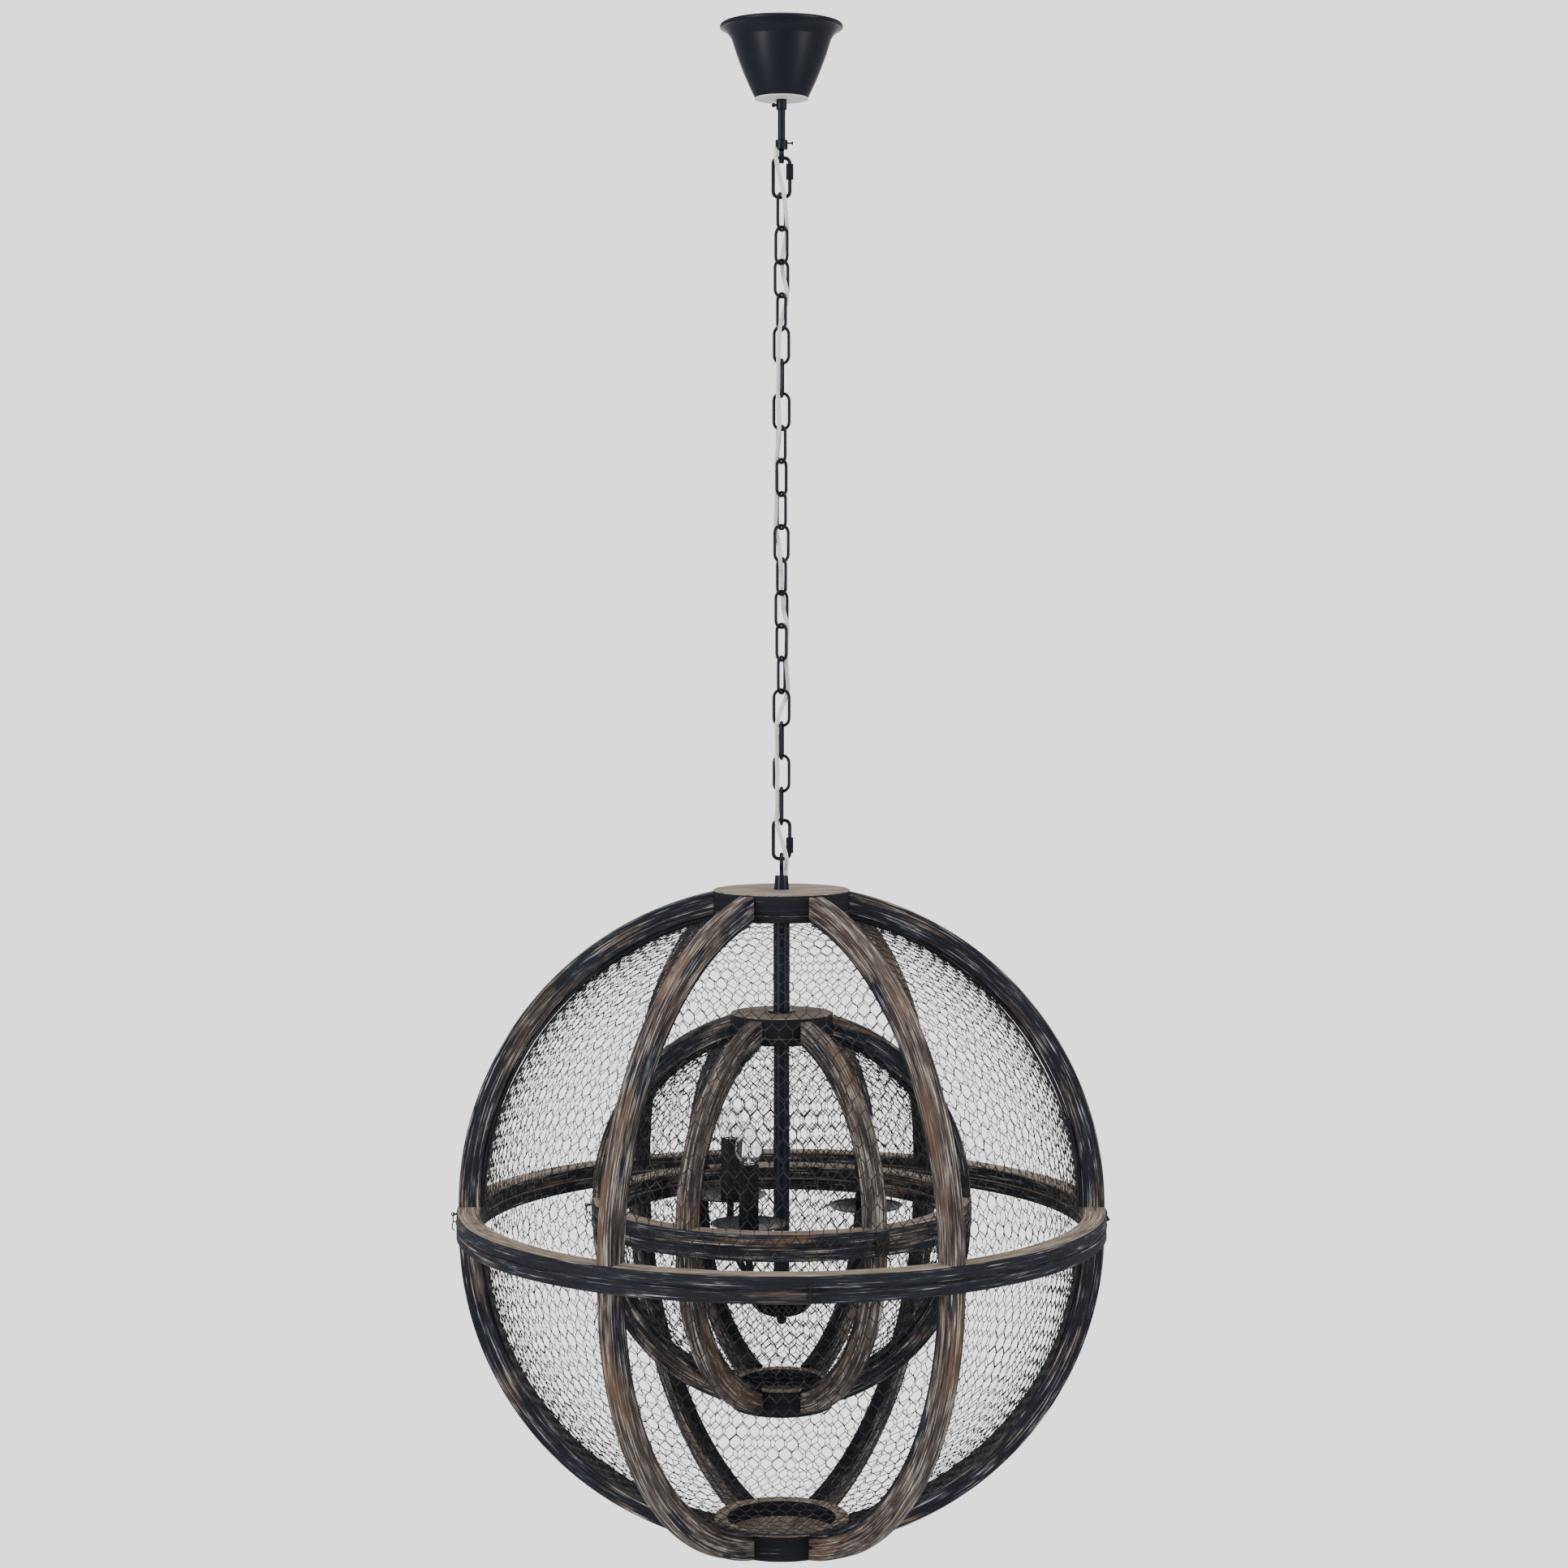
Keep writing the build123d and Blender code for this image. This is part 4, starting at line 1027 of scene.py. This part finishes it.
# %% Plastics, cord and glass
def moulded(name, colour, light, rough):
    """Matt moulded plastic with a fine grain."""
    plastic = Finish(name, metallic=0.0, specular_ior_level=0.3)
    where = plastic.where()
    clouds = plastic.clouds(where, 90.0)
    plastic.surface(base_color=plastic.mix(colour, light, clouds), roughness=rough + 0.1 * clouds)
    plastic.bump(plastic.clouds(where, 1500.0, detail=1.0), 0.00006, 0.4)
    return plastic.material


def clear_cord():
    """Clear plastic over fine twisted strands."""
    cord = Finish("clear_cord", metallic=0.0, specular_ior_level=0.6, coat_roughness=0.1, ior=1.5)
    where = cord.where()
    side = cord.node("SeparateXYZ", None, {0: where}, 0)
    height = cord.node("SeparateXYZ", None, {0: where}, 2)
    lay = cord.maths("SINE", height * 2600.0 + side * 1500.0) * 0.5 + 0.5
    silver = cord.mix((0.66, 0.65, 0.61), (0.88, 0.87, 0.83), lay)
    cord.surface(base_color=silver, roughness=0.28 + 0.12 * lay, coat_weight=0.8)
    cord.bump(lay, 0.00008, 0.4)
    return cord.material


def glass(name):
    """Clear glass: everything that shows is what it bends and reflects."""
    clear = Finish(name, base_color=(1.0, 1.0, 1.0), roughness=0.0, ior=1.47, transmission_weight=1.0)
    return clear.material


sleeve_plastic = moulded("sleeve_plastic", (0.003, 0.0035, 0.006), (0.007, 0.008, 0.011), 0.6)
socket_plastic = moulded("socket_plastic", (0.010, 0.010, 0.010), (0.020, 0.020, 0.020), 0.45)
disc_plastic = moulded("disc_plastic", (0.74, 0.72, 0.66), (0.82, 0.80, 0.74), 0.5)
cord_plastic = clear_cord()
bulb_clear = glass("bulb_clear")
print("plastics and glass made")

# %% [markdown]
# ## Dressing the pieces
#
# Each finish also has a slot name in the part's record, so that a reader can
# repaint a group of pieces at once. CAD nodes take their finish from the record's
# own list, and the pieces built here name theirs.

# %% Finishes by slot
SLOT_FINISH = {
    "dark_metal": dark_lacquer, "plated_steel": zinc_plate, "pale_disc": disc_plastic,
    "clear_cord": cord_plastic, "aged_wood": wood_material, "net_wire": net_patina,
    "aged_hardware": aged_bronze, "candle_plastic": sleeve_plastic, "socket_plastic": socket_plastic,
    "bulb_glass": bulb_clear}


def dress(piece, finish):
    """Give every face of a piece one finish."""
    piece.data.materials.clear()
    piece.data.materials.append(finish)


for part in frame["record"]["subparts"]:
    dress(nodes[part["node"]], SLOT_FINISH[part["material_slot"]])
for piece in bpy.data.objects:
    if piece.type != "MESH" or piece in nodes.values():
        continue
    if piece.name.startswith("supply_cord_"):
        dress(piece, cord_plastic)
    elif "wire_net" in piece.name:
        dress(piece, net_patina)
    elif "wood" in piece.name or "battens" in piece.name:
        dress(piece, wood_material)
dress(bulb_glass, bulb_clear)
dress(bulb_stems, bulb_clear)
dress(bulb_base, brass_shell)
dress(filaments, zinc_plate)

# %% [markdown]
# ## Light and floor
#
# The object hangs in front of plain white under very even light. A white world
# gives the even part, and two tall soft lamps in front, left and right, give the
# long highlights on the canopy. A lit sheet far behind makes a bright background
# without lighting the front. It stays below pure white, because a brighter one
# eats into the thin wires. The floor is a pale disc 2.6 m under the ceiling.

# %% World and lamps
world = bpy.data.worlds.new("white_studio")
world.use_nodes = True
sky = world.node_tree.nodes["Background"]
sky.inputs["Color"].default_value = (1.0, 1.0, 1.0, 1.0)
sky.inputs["Strength"].default_value = 0.55
bpy.context.scene.world = world


def soft_lamp(name, place, target, wide, tall, power):
    """A soft rectangular lamp that looks at a point."""
    data = bpy.data.lights.new(name, "AREA")
    data.shape = "RECTANGLE"
    data.size, data.size_y = wide, tall
    data.energy = power
    lamp = bpy.data.objects.new(name, data)
    lamp.location = place
    lamp.rotation_euler = (Vector(target) - Vector(place)).to_track_quat("-Z", "Y").to_euler()
    bpy.context.scene.collection.objects.link(lamp)


soft_lamp("left_softbox", (-2.1, -2.0, -0.3), (0.0, 0.0, -0.8), 0.8, 2.0, 62.0)
soft_lamp("right_softbox", (2.3, -1.6, -0.4), (0.0, 0.0, -0.8), 0.6, 1.8, 34.0)
soft_lamp("top_softbox", (0.2, -0.3, 1.6), (0.0, 0.0, -1.1), 1.6, 1.6, 40.0)
print("lamps", len(bpy.data.lights))

# %% Floor and backdrop
FLOOR_R = 3.3
FLOOR_Z = -2.6
rim = [(FLOOR_R * math.cos(a), FLOOR_R * math.sin(a), FLOOR_Z)
       for a in (math.radians(5 * k) for k in range(72))]
floor = new_piece("floor", rim, [tuple(range(72))], smooth=False)
pale = Finish("pale_floor", roughness=0.8, base_color=(0.86, 0.86, 0.86))
dress(floor, pale.material)

SHEET_AWAY = 20.0
SHEET_HALF = 7.2
SHEET_Z = -1.84
sheet = [(x * SHEET_HALF, SHEET_AWAY, SHEET_Z + z * SHEET_HALF)
         for x, z in ((-1, -1), (1, -1), (1, 1), (-1, 1))]
backdrop = new_piece("backdrop", sheet, [(0, 1, 2, 3)], smooth=False)
BACKDROP_GLOW = 1.9
lit = Finish("lit_backdrop", base_color=(0.0, 0.0, 0.0), emission_color=(1.0, 1.0, 1.0),
             emission_strength=BACKDROP_GLOW)
dress(backdrop, lit.material)
print("stage set")
